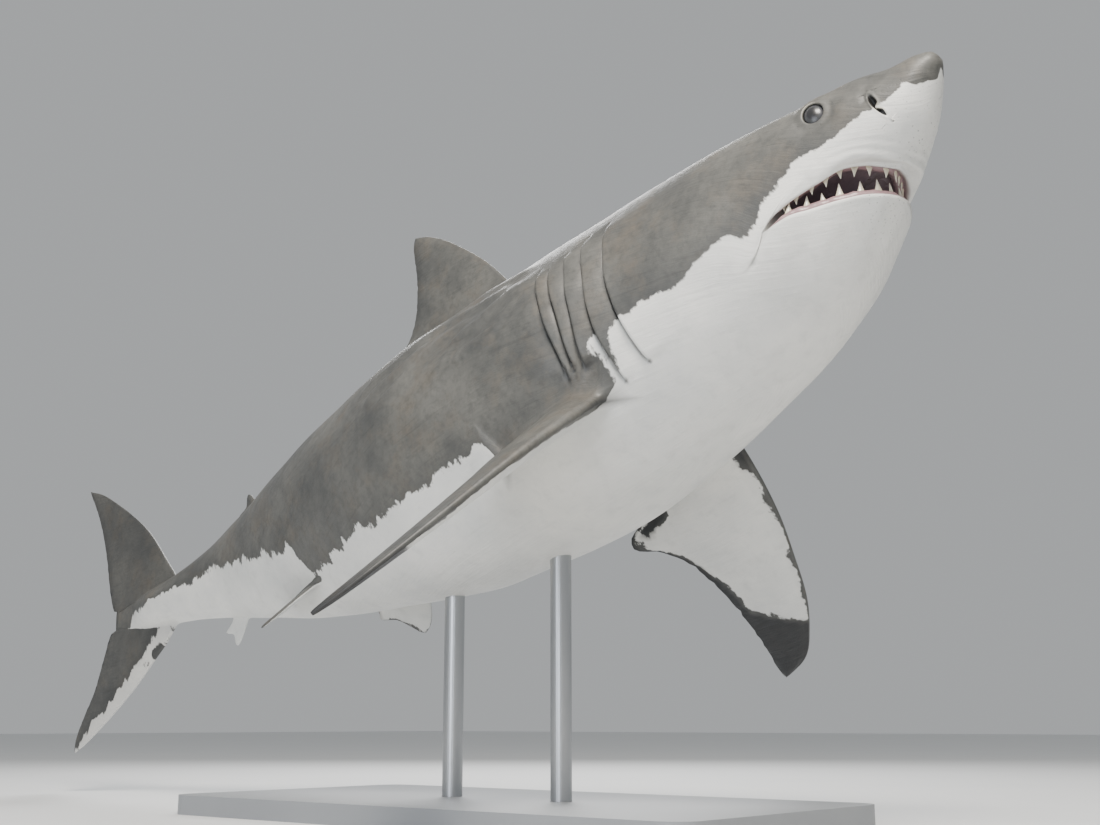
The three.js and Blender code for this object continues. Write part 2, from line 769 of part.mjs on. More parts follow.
const plan = new THREE.Shape();
const halfWide = BASE.wide / 2;
const halfLong = BASE.long / 2;
const corner = BASE.corner;
plan.moveTo(-halfWide + corner, -halfLong);
plan.lineTo(halfWide - corner, -halfLong);
plan.absarc(halfWide - corner, -halfLong + corner, corner, -Math.PI / 2, 0, false);
plan.lineTo(halfWide, halfLong - corner);
plan.absarc(halfWide - corner, halfLong - corner, corner, 0, Math.PI / 2, false);
plan.lineTo(-halfWide + corner, halfLong);
plan.absarc(-halfWide + corner, halfLong - corner, corner, Math.PI / 2, Math.PI, false);
plan.lineTo(-halfWide, -halfLong + corner);
plan.absarc(-halfWide + corner, -halfLong + corner, corner, Math.PI, 1.5 * Math.PI, false);
const slab = new THREE.ExtrudeGeometry(plan, {
  depth: BASE.thick,
  bevelEnabled: false,
  curveSegments: 8,
});
addNode("stand_base", toManifold(slab), STAND_PAINT);

["stand_rod_front", "stand_rod_rear"].forEach((name, i) => {
  const [x, y, z] = rodSpots[i];
  const foot = BASE.thick + GAP;
  const rod = new THREE.CylinderGeometry(ROD_RADIUS, ROD_RADIUS, z - foot, ROD_SEGMENTS);
  rod.rotateX(Math.PI / 2);
  rod.translate(x - baseX, y - baseY, (z + foot) / 2);
  const shifted = cutBody.translate([-baseX, -baseY, 0]);
  addNode(name, largest(toManifold(rod).subtract(shifted)), STAND_PAINT);
});

// The origin is the middle of the base's underside.
group.children.forEach((mesh) => {
  if (!mesh.name.startsWith("stand_")) {
    mesh.geometry.translate(-baseX, -baseY, 0);
  }
});

export default group;
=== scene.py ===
"""The looks of a life-size great white shark on its display stand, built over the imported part."""

import math

import bpy
import numpy as np
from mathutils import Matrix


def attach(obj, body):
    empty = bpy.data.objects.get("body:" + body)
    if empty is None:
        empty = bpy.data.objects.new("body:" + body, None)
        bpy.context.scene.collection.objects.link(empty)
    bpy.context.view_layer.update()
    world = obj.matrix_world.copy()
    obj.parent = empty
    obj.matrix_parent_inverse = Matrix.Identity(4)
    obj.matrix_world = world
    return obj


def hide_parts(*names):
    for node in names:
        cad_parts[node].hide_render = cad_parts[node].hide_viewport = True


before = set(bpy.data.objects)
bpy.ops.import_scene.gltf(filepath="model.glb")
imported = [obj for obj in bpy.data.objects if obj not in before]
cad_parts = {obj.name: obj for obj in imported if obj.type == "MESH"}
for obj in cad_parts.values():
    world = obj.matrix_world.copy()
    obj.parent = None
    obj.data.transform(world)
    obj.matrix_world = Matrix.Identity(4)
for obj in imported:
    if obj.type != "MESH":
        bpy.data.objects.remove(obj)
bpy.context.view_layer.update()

# ---- Driving sizes, shared with the part. A body point is (share back from the snout,
# share out to the shark's right, share up from the backbone); 1 share is LENGTH metres.
LENGTH = 4.5
FIN_EDGE = 0.003 / LENGTH
TIP_FROM, FRAY = 0.93, 0.07
NOSE_UP = math.radians(15)
LEAN = math.radians(3.7)
BASE_SHIFT = np.array([0.001, -0.039, -1.225])
BEND_STEPS = np.array([0, 0.2, 0.4, 0.6, 0.8, 1.0])
HEADING_DEG = np.array([-17, -5.5, 0, -6.5, 0.5, 0.5])
PITCH_DEG = np.array([13.5, 6.5, 0, -1, -3, -9])
SPINE_REACH = 1.1

# Rings of the trunk: share back, height above, depth below, half width, fullness above and below.
STATIONS = np.array([
    [0, 0.0005, 0.0004, 0.0004, 2, 2],
    [0.006, 0.0088, 0.0071, 0.0082, 2.1, 2],
    [0.02, 0.019, 0.015, 0.0163, 2.2, 2],
    [0.045, 0.0334, 0.0266, 0.0299, 2.4, 2],
    [0.08, 0.0427, 0.0465, 0.0443, 2.5, 2.1],
    [0.12, 0.057, 0.067, 0.0592, 2.2, 2.2],
    [0.16, 0.0675, 0.079, 0.0712, 2, 2.2],
    [0.21, 0.0755, 0.0895, 0.079, 1.95, 2.2],
    [0.27, 0.0805, 0.1025, 0.085, 1.95, 2.2],
    [0.34, 0.0835, 0.1125, 0.0885, 1.85, 2.1],
    [0.42, 0.0818, 0.1125, 0.0858, 1.85, 2.1],
    [0.52, 0.0712, 0.0975, 0.0725, 1.75, 2],
    [0.61, 0.0588, 0.0785, 0.057, 1.75, 2],
    [0.69, 0.0435, 0.054, 0.041, 1.75, 2],
    [0.75, 0.0315, 0.0365, 0.0305, 1.7, 1.9],
    [0.8, 0.0225, 0.025, 0.0265, 1.6, 1.7],
    [0.83, 0.019, 0.021, 0.0245, 1.55, 1.6],
    [0.86, 0.0175, 0.019, 0.0158, 1.7, 1.7],
    [0.885, 0.013, 0.014, 0.0085, 2, 2],
    [0.914, 0.0118, 0.0118, 0.0069, 2, 2],
])
TAIL_END = 0.914
TIP_ROUND, TIP_POWER = 0.006, 0.454
TIP_LIFT, TIP_BACK = 0.0066, 0.0006

UPPER_LIP = [
    (0.122, 0.0545, -0.0338), (0.1121, 0.0523, -0.0281), (0.0973, 0.0462, -0.0245), (0.0818, 0.0382, -0.0231),
    (0.0698, 0.0303, -0.0217), (0.0618, 0.0188, -0.0227), (0.0566, 0.0075, -0.0257), (0.054, 0, -0.0275),
]
LOWER_LIP = [
    (0.122, 0.0545, -0.0343), (0.1055, 0.0489, -0.0337), (0.0945, 0.041, -0.0352), (0.0809, 0.0312, -0.0375),
    (0.0701, 0.0192, -0.0393), (0.0646, 0.0077, -0.0411), (0.0636, 0, -0.0411),
]
MOUTH_CENTRE = np.array([0.115, 0, -0.024])

# Five gill slits, each a line down the side: share back and degrees round from the back.
GILL_SLITS = [
    [(0.2165, 56), (0.2188, 68), (0.2211, 78), (0.2228, 87), (0.2243, 95), (0.2248, 102), (0.2239, 111),
     (0.2233, 118), (0.2226, 124), (0.2208, 130)],
    [(0.2325, 58), (0.2372, 64), (0.2392, 72), (0.2396, 81), (0.2405, 90), (0.2424, 97), (0.2433, 105),
     (0.2426, 113), (0.2417, 121), (0.2408, 130)],
    [(0.2515, 61), (0.2544, 68), (0.2546, 80), (0.2552, 90), (0.257, 101), (0.2592, 112), (0.2606, 120),
     (0.26, 128)],
    [(0.2695, 64), (0.2688, 73), (0.2671, 84), (0.2665, 96), (0.2668, 108), (0.2681, 117), (0.2706, 124),
     (0.272, 129)],
    [(0.2775, 61), (0.2796, 69), (0.2786, 80), (0.2766, 94), (0.2743, 105), (0.2731, 113), (0.2727, 122),
     (0.2732, 129)],
]
# Long soft folds of the flank: each a line of share back and degrees round.
FLANK_FOLDS = [
    [(0.2827, 63), (0.2977, 66), (0.3089, 76), (0.3232, 81.5), (0.3464, 83.5), (0.3786, 92), (0.402, 99)],
    [(0.2909, 61), (0.3194, 65), (0.3359, 70.5), (0.3539, 72), (0.3629, 80.5), (0.388, 86)],
    [(0.3067, 55), (0.3337, 55.5), (0.3794, 53), (0.4041, 54), (0.4229, 59.5), (0.4491, 63), (0.4731, 75.5)],
    [(0.2879, 52), (0.3179, 47), (0.3457, 44), (0.37, 42)],
    [(0.345, 62), (0.368, 66), (0.392, 70), (0.42, 79), (0.445, 84)],
    [(0.385, 62), (0.41, 67), (0.438, 72), (0.462, 83)],
]

PECTORAL_FRONT = [
    (-0.02, -0.03), (-0.012, 0.01), (0.004, 0.07), (0.016, 0.104), (0.031, 0.144), (0.045, 0.17),
    (0.06, 0.191), (0.08, 0.204),
]
PECTORAL_BACK = [
    (0.06, -0.03), (0.078, 0.018), (0.1, 0.03), (0.104, 0.037), (0.088, 0.052), (0.077, 0.076),
    (0.0745, 0.11), (0.0795, 0.17), (0.0865, 0.2),
]
PELVIC_FRONT = [(-0.01, -0.02), (0.012, 0.016), (0.026, 0.031), (0.036, 0.037)]
PELVIC_BACK = [(0.05, -0.02), (0.066, 0.002), (0.07, 0.008), (0.056, 0.016), (0.049, 0.026), (0.043, 0.037)]
DORSAL_FRONT = [(-0.02, -0.02), (0, 0.012), (0.019, 0.04), (0.042, 0.065), (0.067, 0.087), (0.088, 0.1)]
DORSAL_BACK = [
    (0.085, -0.02), (0.108, 0.002), (0.125, 0.007), (0.111, 0.019), (0.101, 0.038), (0.096, 0.07),
    (0.096, 0.099),
]
SMALL_FRONT = [(-0.006, -0.012), (0, 0), (0.009, 0.014), (0.017, 0.024)]
SMALL_BACK = [(0.018, -0.012), (0.026, 0.003), (0.034, 0.0085), (0.0235, 0.014), (0.0215, 0.024)]
UPPER_LOBE_FRONT = [
    (0, 0), (0.004, 0.013), (0.025, 0.044), (0.05, 0.075), (0.076, 0.097), (0.104, 0.116),
    (0.132, 0.132), (0.153, 0.14),
]
UPPER_LOBE_BACK = [
    (0.06, -0.0005), (0.0965, 0.0005), (0.1045, 0.012), (0.1115, 0.032), (0.119, 0.064), (0.13, 0.096),
    (0.145, 0.124), (0.157, 0.14),
]
LOWER_LOBE_FRONT = [
    (0, 0), (0.004, 0.014), (0.02, 0.033), (0.041, 0.048), (0.066, 0.066), (0.098, 0.085),
    (0.126, 0.1), (0.151, 0.1125),
]
LOWER_LOBE_BACK = [
    (0.06, 0.001), (0.0965, 0.001), (0.107, 0.01), (0.117, 0.032), (0.129, 0.06), (0.1425, 0.08),
    (0.153, 0.098), (0.1575, 0.112),
]
# Each kind of fin: thickness, front and back edge, rings out to the tip, and how far past the blade the skin
# starts to rise, in front and behind, then to each side.
DORSAL = (0.0095, DORSAL_FRONT, DORSAL_BACK, 46, 0.012, 0.007)
SMALL = (0.0034, SMALL_FRONT, SMALL_BACK, 18, 0.006, 0.0035)
PECTORAL = (0.0165, PECTORAL_FRONT, PECTORAL_BACK, 50, 0.012, 0.009)
PELVIC = (0.0045, PELVIC_FRONT, PELVIC_BACK, 24, 0.008, 0.0045)
UPPER_LOBE = (0.0075, UPPER_LOBE_FRONT, UPPER_LOBE_BACK, 36, 0.008, 0.0035)
LOWER_LOBE = (0.0075, LOWER_LOBE_FRONT, LOWER_LOBE_BACK, 36, 0.008, 0.0035)
# Each fin: root point, lean and set in degrees, and its kind.
FINS = {
    "dorsal_first": ((0.365, 0, 0.087), 90, 0, *DORSAL),
    "dorsal_second": ((0.693, 0, 0.0395), 90, 0, *SMALL),
    "anal_fin": ((0.719, 0, -0.04), -90, 0, *SMALL),
    "pectoral_right": ((0.272, 0.07, -0.06), -36, 6.5, *PECTORAL),
    "pectoral_left": ((0.272, -0.07, -0.06), 214, 4, *PECTORAL),
    "pelvic_right": ((0.562, 0.038, -0.067), -37, 8, *PELVIC),
    "pelvic_left": ((0.535, -0.04, -0.067), 226, 4, *PELVIC),
    "caudal_upper": ((0.815, 0, 0.0003), 90, 0, *UPPER_LOBE),
    "caudal_lower": ((0.815, 0, -0.0003), -90, 0, *LOWER_LOBE),
}

# Where the dark back meets the white belly: share back, degrees round from the back.
SHADE_LINE = np.array([
    (0, 230), (0.0084, 190), (0.01, 166), (0.0116, 148), (0.0146, 138), (0.0168, 121), (0.0174, 107.5),
    (0.0198, 99.4), (0.0232, 104.3), (0.028, 104.1), (0.0315, 106), (0.0394, 103), (0.0417, 98.5),
    (0.0473, 101), (0.0583, 101.6), (0.0725, 100.4), (0.0772, 98), (0.0819, 96.7), (0.0863, 95.9),
    (0.0918, 98), (0.0973, 99.4), (0.1036, 100.4), (0.1139, 101.8), (0.1186, 105.6), (0.1285, 109),
    (0.1344, 110.3), (0.1383, 107), (0.15, 107.5), (0.1685, 109), (0.1759, 111), (0.1839, 110.7),
    (0.2005, 108.3), (0.2074, 107), (0.2154, 106.5), (0.2325, 107.5), (0.257, 124), (0.262, 131),
    (0.27, 133.5), (0.28, 134), (0.293, 127), (0.334, 119), (0.383, 119), (0.434, 121.5), (0.514, 128),
    (0.562, 137), (0.574, 116.5), (0.647, 111), (0.718, 101.5), (0.781, 97), (0.86, 97), (0.88, 104),
    (0.895, 130), (0.9, 180), (0.92, 180),
])
# On the left the snout's dark cap is shorter, by a share, and the line higher, in degrees. Between two shares
# back, ahead of the third slit, the line stays level at LEVEL_DEG.
CAP_SHORTER, LINE_HIGHER = 0.007, 12
LEVEL_FROM, LEVEL_TO, LEVEL_DEG = 0.235, 0.3, 106.0
# Dark tongues before a gill slit: slit number, then degrees round and width.
TONGUES = [
    (1, [(100, 0.011), (107.5, 0.0108), (109.3, 0.0078), (113.5, 0.0066), (119.4, 0.004), (123.8, 0.0013),
         (126, -0.002), (132, -0.03)]),
    (2, [(100, 0.009), (106.8, 0.009), (112, 0.0084), (116.4, 0.0069), (118, 0.004), (119.5, 0.0062),
         (121, 0.0048), (125, 0.0028), (127, -0.002), (133, -0.03)]),
]

# Height of a flank fold.
FOLD_LIFT = 0.0014
# Creases of the head: points along each, half width, depth and how dark its painted shade is.
HEAD_CREASES = [
    ([(0.1185, 0.0526, -0.033), (0.1267, 0.0537, -0.0375), (0.1312, 0.0537, -0.0408),
      (0.1365, 0.0528, -0.045)], 0.0017, 0.0012, 0.22),
    ([(0.075, 0.0385, -0.0155), (0.062, 0.0325, -0.018), (0.0517, 0.0221, -0.0225), (0.047, 0.012, -0.0262),
      (0.0455, 0, -0.0278)], 0.0018, 0.0006, 0.0),
    ([(0.07, 0.038, -0.0115), (0.056, 0.0315, -0.0155), (0.0465, 0.0205, -0.0205), (0.042, 0.01, -0.0235),
      (0.041, 0, -0.0245)], 0.0016, 0.0004, 0.0),
    ([(0.08, 0.0415, 0.009), (0.0715, 0.039, 0.0042), (0.061, 0.0355, 0.0052), (0.0545, 0.033, 0.011)],
     0.0016, 0.0005, 0.12),
    ([(0.0352, 0.0239, 0.0121), (0.0378, 0.0262, 0.0075), (0.0388, 0.0268, 0.0025)], 0.0013, 0.0007, 0.2),
    ([(0.105, 0.0515, -0.0215), (0.114, 0.0545, -0.0255), (0.123, 0.056, -0.0305), (0.131, 0.056, -0.036)],
     0.0018, 0.0006, 0.0),
]

# The right eye's centre and how far its plane turns forward, its opening's half width and half height, the
# ball's half sizes along, up and out, and how far the ball sits back.
EYE_AT = np.array([0.0664, 0.0368, 0.0168])
EYE_SLOPE = 0.40
EYE_WIDE, EYE_TALL = 0.0063, 0.0068
EYEBALL_HALF = (0.0067, 0.0072, 0.0043)
EYEBALL_BACK = 0.0032
# The nostril's middle: share back and height.
NOSTRIL_AT = (0.0358, -0.0038)
# Teeth slope along the body by this share of their height, and curve inward by this share at the tip.
TOOTH_SLOPE, TOOTH_CURVE = 0.42, 0.10

# Across a gill slit, from in front to behind: distance back, and height of the flap, slit and rear slope.
GILL_ACROSS = [-0.010, -0.005, -0.0018, -0.0005, 0.0001, 0.0006, 0.0012, 0.003, 0.008]
GILL_HEIGHTS = [0, 0.0007, 0.0018, 0.0016, -0.0014, -0.0036, -0.0018, -0.0003, 0]
# Over a pectoral's root the slits move forward, in shares, and down, in degrees, for each share that the root's
# hollow curve rises, and they fade out along it from and over these shares of its length.
GILL_FORWARD_BY, GILL_DOWN_BY = 0.6, 115
GILL_FADE_FROM, GILL_FADE_OVER = 0.2, 0.35


# ---- Curves ----
def smooth(x):
    """Rises from 0 to 1 as x does, level at both ends."""
    x = np.clip(x, 0, 1)
    return x * x * (3 - 2 * x)


def steady(xs, ys, x):
    """A cubic through knots that never overshoots them: each inner slope is the weighted harmonic mean of
    the chords beside it, and each end slope is its own chord's."""
    xs, ys = np.asarray(xs, float), np.asarray(ys, float)
    x = np.clip(np.asarray(x, float), xs[0], xs[-1])
    step = np.diff(xs)
    chord = np.diff(ys) / step
    slope = np.zeros(len(xs))
    slope[0], slope[-1] = chord[0], chord[-1]
    a, b = 2 * step[1:] + step[:-1], step[1:] + 2 * step[:-1]
    same = chord[:-1] * chord[1:] > 0
    before, after = np.where(same, chord[:-1], 1), np.where(same, chord[1:], 1)
    slope[1:-1] = np.where(same, (a + b) / (a / before + b / after), 0)
    i = np.clip(np.searchsorted(xs, x, side="left") - 1, 0, len(xs) - 2)
    h = step[i]
    t = (x - xs[i]) / h
    return (
        ys[i] * (1 + 2 * t) * (1 - t) ** 2
        + slope[i] * h * t * (1 - t) ** 2
        + ys[i + 1] * t * t * (3 - 2 * t)
        + slope[i + 1] * h * t * t * (t - 1)
    )


def natural(ys, x):
    """The natural cubic spline through values at BEND_STEPS: its second slopes solve the usual 1-4-1 rows."""
    h = BEND_STEPS[1]
    n = len(ys)
    rows = np.diag(np.full(n, 4.0)) + np.diag(np.ones(n - 1), 1) + np.diag(np.ones(n - 1), -1)
    rows[0], rows[-1] = np.eye(n)[0], np.eye(n)[-1]
    pull = np.zeros(n)
    pull[1:-1] = 6 * (ys[:-2] - 2 * ys[1:-1] + ys[2:]) / h**2
    curl = np.linalg.solve(rows, pull)
    x = np.clip(x, 0, 1)
    i = np.clip(np.floor(x / h).astype(int), 0, n - 2)
    a = (BEND_STEPS[i + 1] - x) / h
    b = 1 - a
    return a * ys[i] + b * ys[i + 1] + ((a**3 - a) * curl[i] + (b**3 - b) * curl[i + 1]) * h * h / 6


def chain(points, t):
    """The point a share t of the way along a chain, each coordinate a steady curve over the distance run."""
    points = np.asarray(points, float)
    run = np.concatenate([[0], np.cumsum(np.linalg.norm(np.diff(points, axis=0), axis=1))])
    along = np.asarray(t, float) * run[-1]
    return np.stack([steady(run, points[:, k], along) for k in range(points.shape[1])], -1)


def unit(v):
    """Vectors cut to length 1."""
    return v / np.maximum(np.linalg.norm(v, axis=-1, keepdims=True), 1e-12)


# ---- The bent backbone ----
def spine_frame(s):
    """Unit vectors ahead, right and up at a share s: ahead turns by the heading and then the pitch."""
    yaw, rise = natural(np.radians(HEADING_DEG), s), natural(np.radians(PITCH_DEG), s)
    ahead = np.stack([np.cos(rise) * np.cos(yaw), np.cos(rise) * np.sin(yaw), np.sin(rise)], -1)
    up = np.stack([-np.sin(rise) * np.cos(yaw), -np.sin(rise) * np.sin(yaw), np.cos(rise)], -1)
    return ahead, np.cross(ahead, up), up


def turn(axis, angle):
    """The matrix that turns by angle about axis 0, 1 or 2."""
    a, b = [(1, 2), (2, 0), (0, 1)][axis]
    m = np.eye(3)
    m[a, a] = m[b, b] = math.cos(angle)
    m[b, a], m[a, b] = math.sin(angle), -math.sin(angle)
    return m


# The backbone is summed in even steps, and the body turns about the step at share 0.4.
SPINE_STEPS, SPINE_ORIGIN = 440, 160
SPINE_AT = np.linspace(0, SPINE_REACH, SPINE_STEPS + 1)
spine_ahead = spine_frame(SPINE_AT)[0]
spine_run = (spine_ahead[1:] + spine_ahead[:-1]) / 2 * (SPINE_REACH / SPINE_STEPS)
SPINE = -np.concatenate([np.zeros((1, 3)), np.cumsum(spine_run, axis=0)])
SPINE = SPINE - SPINE[SPINE_ORIGIN]
POSED = turn(2, -math.pi / 2) @ turn(1, -NOSE_UP) @ turn(0, -LEAN)


def place(p):
    """Body points in metres in the world: carried along the bent backbone, then turned and lifted as one."""
    s = np.clip(p[..., 0], 0, SPINE_REACH)
    ahead, right, up = spine_frame(s)
    centre = np.stack([np.interp(s, SPINE_AT, SPINE[:, k]) for k in range(3)], -1)
    beyond = np.minimum(p[..., 0:1], 0)
    out = centre - beyond * ahead + right * p[..., 1:2] + up * p[..., 2:3]
    return (out @ POSED.T) * LENGTH - BASE_SHIFT


# ---- The trunk ----
def ring_sizes(s):
    """Height above, depth below, half width and the two fullnesses at a share s. The tip is rounded, as a
    power of the distance, and the tail's end thins to a blade."""
    from_tip = np.maximum(s, TIP_ROUND)
    top, bottom, half, above, below = (steady(STATIONS[:, 0], STATIONS[:, k], from_tip) for k in range(1, 6))
    tip = (np.clip(s, 1e-6, TIP_ROUND) / TIP_ROUND) ** TIP_POWER
    half = half * (1 - 0.88 * smooth((s - 0.86) / (TAIL_END - 0.86)))
    return top * tip, bottom * tip, half * tip, above, below


def trunk(s, angle):
    """A ring of the trunk: side and height are powers of the angle's sine and cosine, a superellipse. The
    rings rise towards the snout's tip."""
    s, angle = np.broadcast_arrays(s, angle)
    top, bottom, half, above, below = ring_sizes(s)
    c, d = np.cos(angle), np.sin(angle)
    e = 2 / np.where(c > 0, above, below)
    side = half * np.sign(d) * np.abs(d) ** e
    height = np.where(c > 0, top, bottom) * np.sign(c) * np.abs(c) ** e
    back = s + TIP_BACK * (1 - smooth(s / 0.02))
    return np.stack([back, side, height + TIP_LIFT * (1 - smooth(s / 0.03))], -1)


def trunk_out(s, angle):
    """The outward unit normal of the trunk: its slope along crossed with its slope round."""
    h = 1e-4
    near = np.clip(s, h, TAIL_END)
    along = trunk(near + h, angle) - trunk(near - h, angle)
    return unit(np.cross(along, trunk(near, angle + h) - trunk(near, angle - h)))


def angle_of(p):
    """The angle round from the back of the trunk point nearest to a body point, from 0 to a full turn."""
    top, bottom, half, above, below = ring_sizes(np.clip(p[..., 0], 0, TAIL_END))
    full = np.where(p[..., 2] > 0, above, below)
    d = np.sign(p[..., 1]) * (np.abs(p[..., 1]) / half) ** (full / 2)
    reach = np.where(p[..., 2] > 0, top, bottom)
    c = np.sign(p[..., 2]) * (np.abs(p[..., 2]) / reach) ** (full / 2)
    return np.arctan2(d, c) % (2 * math.pi)


def outside(p):
    """Roughly how far a body point is outside the trunk, along the line from the backbone."""
    top, bottom, half, above, below = ring_sizes(np.clip(p[..., 0], 0, TAIL_END))
    full = np.where(p[..., 2] > 0, above, below)
    reach = np.where(p[..., 2] > 0, top, bottom)
    level = ((np.abs(p[..., 1]) / half) ** full + (np.abs(p[..., 2]) / reach) ** full) ** (1 / full)
    return (1 - 1 / np.maximum(level, 1e-6)) * np.hypot(p[..., 1], p[..., 2])


def folded(angle):
    """Degrees round from the back on either side, 0 to 180."""
    a = np.degrees(angle) % 360
    return np.where(a > 180, 360 - a, a)


def slit_line(slit, deg):
    """The share back of a gill slit at each angle: a steady curve down through its points."""
    shares, degrees = zip(*slit)
    return steady(degrees, shares, deg)


def slit_reach(slit, deg):
    """1 along the middle of a gill slit, fading to 0 at its ends."""
    return smooth((deg - slit[0][1]) / 7) * smooth((slit[-1][1] - deg) / 5)


def gill_shape(s, deg):
    """Each slit's flap swells before its edge, drops into the slit and climbs back behind. Its inside is
    darkened with painted shade, and a dark spot ends each of the first three."""
    lift, dark = np.zeros(np.shape(s)), np.zeros(np.shape(s))
    for k, slit in enumerate(GILL_SLITS):
        x = s - slit_line(slit, deg)
        reach = slit_reach(slit, deg)
        ripple = 1 + 0.35 * np.sin(deg * 0.31 + slit[0][0] * 400) * (x < 0)
        lift = lift + reach * ripple * np.interp(x, GILL_ACROSS, GILL_HEIGHTS)
        # The slit's groove is darkened with painted shade.
        dark = np.maximum(dark, reach * np.exp(-(((x - 0.0005) / 0.0009) ** 2)))
        from_end = np.hypot(x, np.radians(deg - slit[-1][1] + 1.5) * 0.08)
        dark = np.maximum(dark, 0.9 * (k < 3) * np.exp(-((from_end / 0.0015) ** 4)))
    return lift, dark


def flank_shape(s, deg):
    """Each flank fold is a ridge along its line with a shallower hollow below it, both bells across it."""
    half = ring_sizes(s)[2]
    lift = np.zeros(np.shape(s))
    for k, fold in enumerate(FLANK_FOLDS):
        shares, degrees = zip(*fold)
        x = np.radians(deg - steady(shares, degrees, s)) * half / (0.0046 + 0.0008 * (k % 2))
        reach = smooth((s - shares[0]) / 0.012) * smooth((shares[-1] - s) / 0.03)
        lift = lift + FOLD_LIFT * reach * (np.exp(-(x**2)) - 0.7 * np.exp(-((x - 1.7) ** 2)))
    return lift


def groove(p, points, width):
    """How near a body point is to a line drawn through points: 1 on it, falling as a bell of that width."""
    line = chain(points, np.linspace(0, 1, 24))
    gap = np.full(p.shape[:-1], 1e9)
    for a in line:
        gap = np.minimum(gap, ((p - a) ** 2).sum(-1))
    return np.exp(-gap / width**2)


def body_skin(s, angle):
    """The finished trunk surface in body points: the ring, its small folds along the normal, and the face
    made upright round each eye."""
    deg = folded(angle)
    p = trunk(s, angle)
    lift, dark = gill_shape(s, deg)
    # The slits' painted shade fades out at the lower ends of the left-hand slits.
    dark = dark * (1 - (np.sin(angle) < 0) * smooth((deg - 114) / 6))
    wave = 0.00035 * np.sin(s * 61 + deg * 0.05) * np.sin(deg * 0.09 + s * 23)
    lift = lift + wave * smooth((s - 0.12) / 0.1) * smooth((0.8 - s) / 0.1) + flank_shape(s, deg)
    right = p * np.stack([np.ones_like(deg), np.where(p[..., 1] < 0, -1.0, 1.0), np.ones_like(deg)], -1)
    # Each head crease is sunk by its depth and darkened by its painted shade.
    for points, width, depth, ink in HEAD_CREASES:
        near = groove(right, points, width)
        lift = lift - depth * near
        dark = np.maximum(dark, ink * near)
    p = p + trunk_out(s, angle) * lift[..., None]
    side = np.sign(p[..., 1])
    r = np.hypot((p[..., 0] - EYE_AT[0]) / 0.016, (p[..., 2] - EYE_AT[2]) / 0.0135)
    near = 1 - smooth((r - 0.45) / 0.75)
    level = EYE_AT[1] + EYE_SLOPE * (p[..., 0] - EYE_AT[0])
    p[..., 1] = p[..., 1] + side * near * (deg < 120) * (level - np.abs(p[..., 1]))
    return p, dark


def shade_of(s, angle):
    """Metres of skin above the line between back and belly, below it negative. Dark tongues run down before
    two gill slits. On the left side the snout's dark cap is shorter and the line lies higher at the gills."""
    left_side = smooth(-3 * np.sin(angle))
    deg = folded(angle) + LINE_HIGHER * left_side * smooth((s - 0.2) / 0.03) * smooth((0.36 - s) / 0.03)
    s = s + CAP_SHORTER * left_side * smooth((0.03 - s) / 0.012)
    size = steady(STATIONS[:, 0], STATIONS[:, 3], s) + 0.004
    past_third = s - slit_line(GILL_SLITS[2], deg)
    line = np.interp(s, SHADE_LINE[:, 0], SHADE_LINE[:, 1])
    line = np.where((s > LEVEL_FROM) & (s < LEVEL_TO) & (past_third < 0.0002), LEVEL_DEG, line)
    above = np.radians(line - deg) * size * LENGTH
    for slit, widths in TONGUES:
        degrees, wide = zip(*widths)
        x = s - slit_line(GILL_SLITS[slit], deg)
        inside = np.minimum(np.interp(deg, degrees, wide) + x, 0.0004 - x)
        above = np.maximum(above, inside * LENGTH)
    return above


def lengths_of(s, angle):
    """Metres back from the snout and metres round from the back, for marks that follow the body."""
    size = steady(STATIONS[:, 0], STATIONS[:, 3], s) * 1.25
    return {"along": s * LENGTH, "around": np.radians(folded(angle)) * size * LENGTH}


# ---- Mesh building ----
# Fields on the skin: slit is painted shade in gill slits, creases, eye sockets and nostrils; pale includes a
# painted highlight over each eye.
FIELDS = ("shade", "ink", "slit", "pale", "flesh", "deep", "snout", "along", "around", "round")


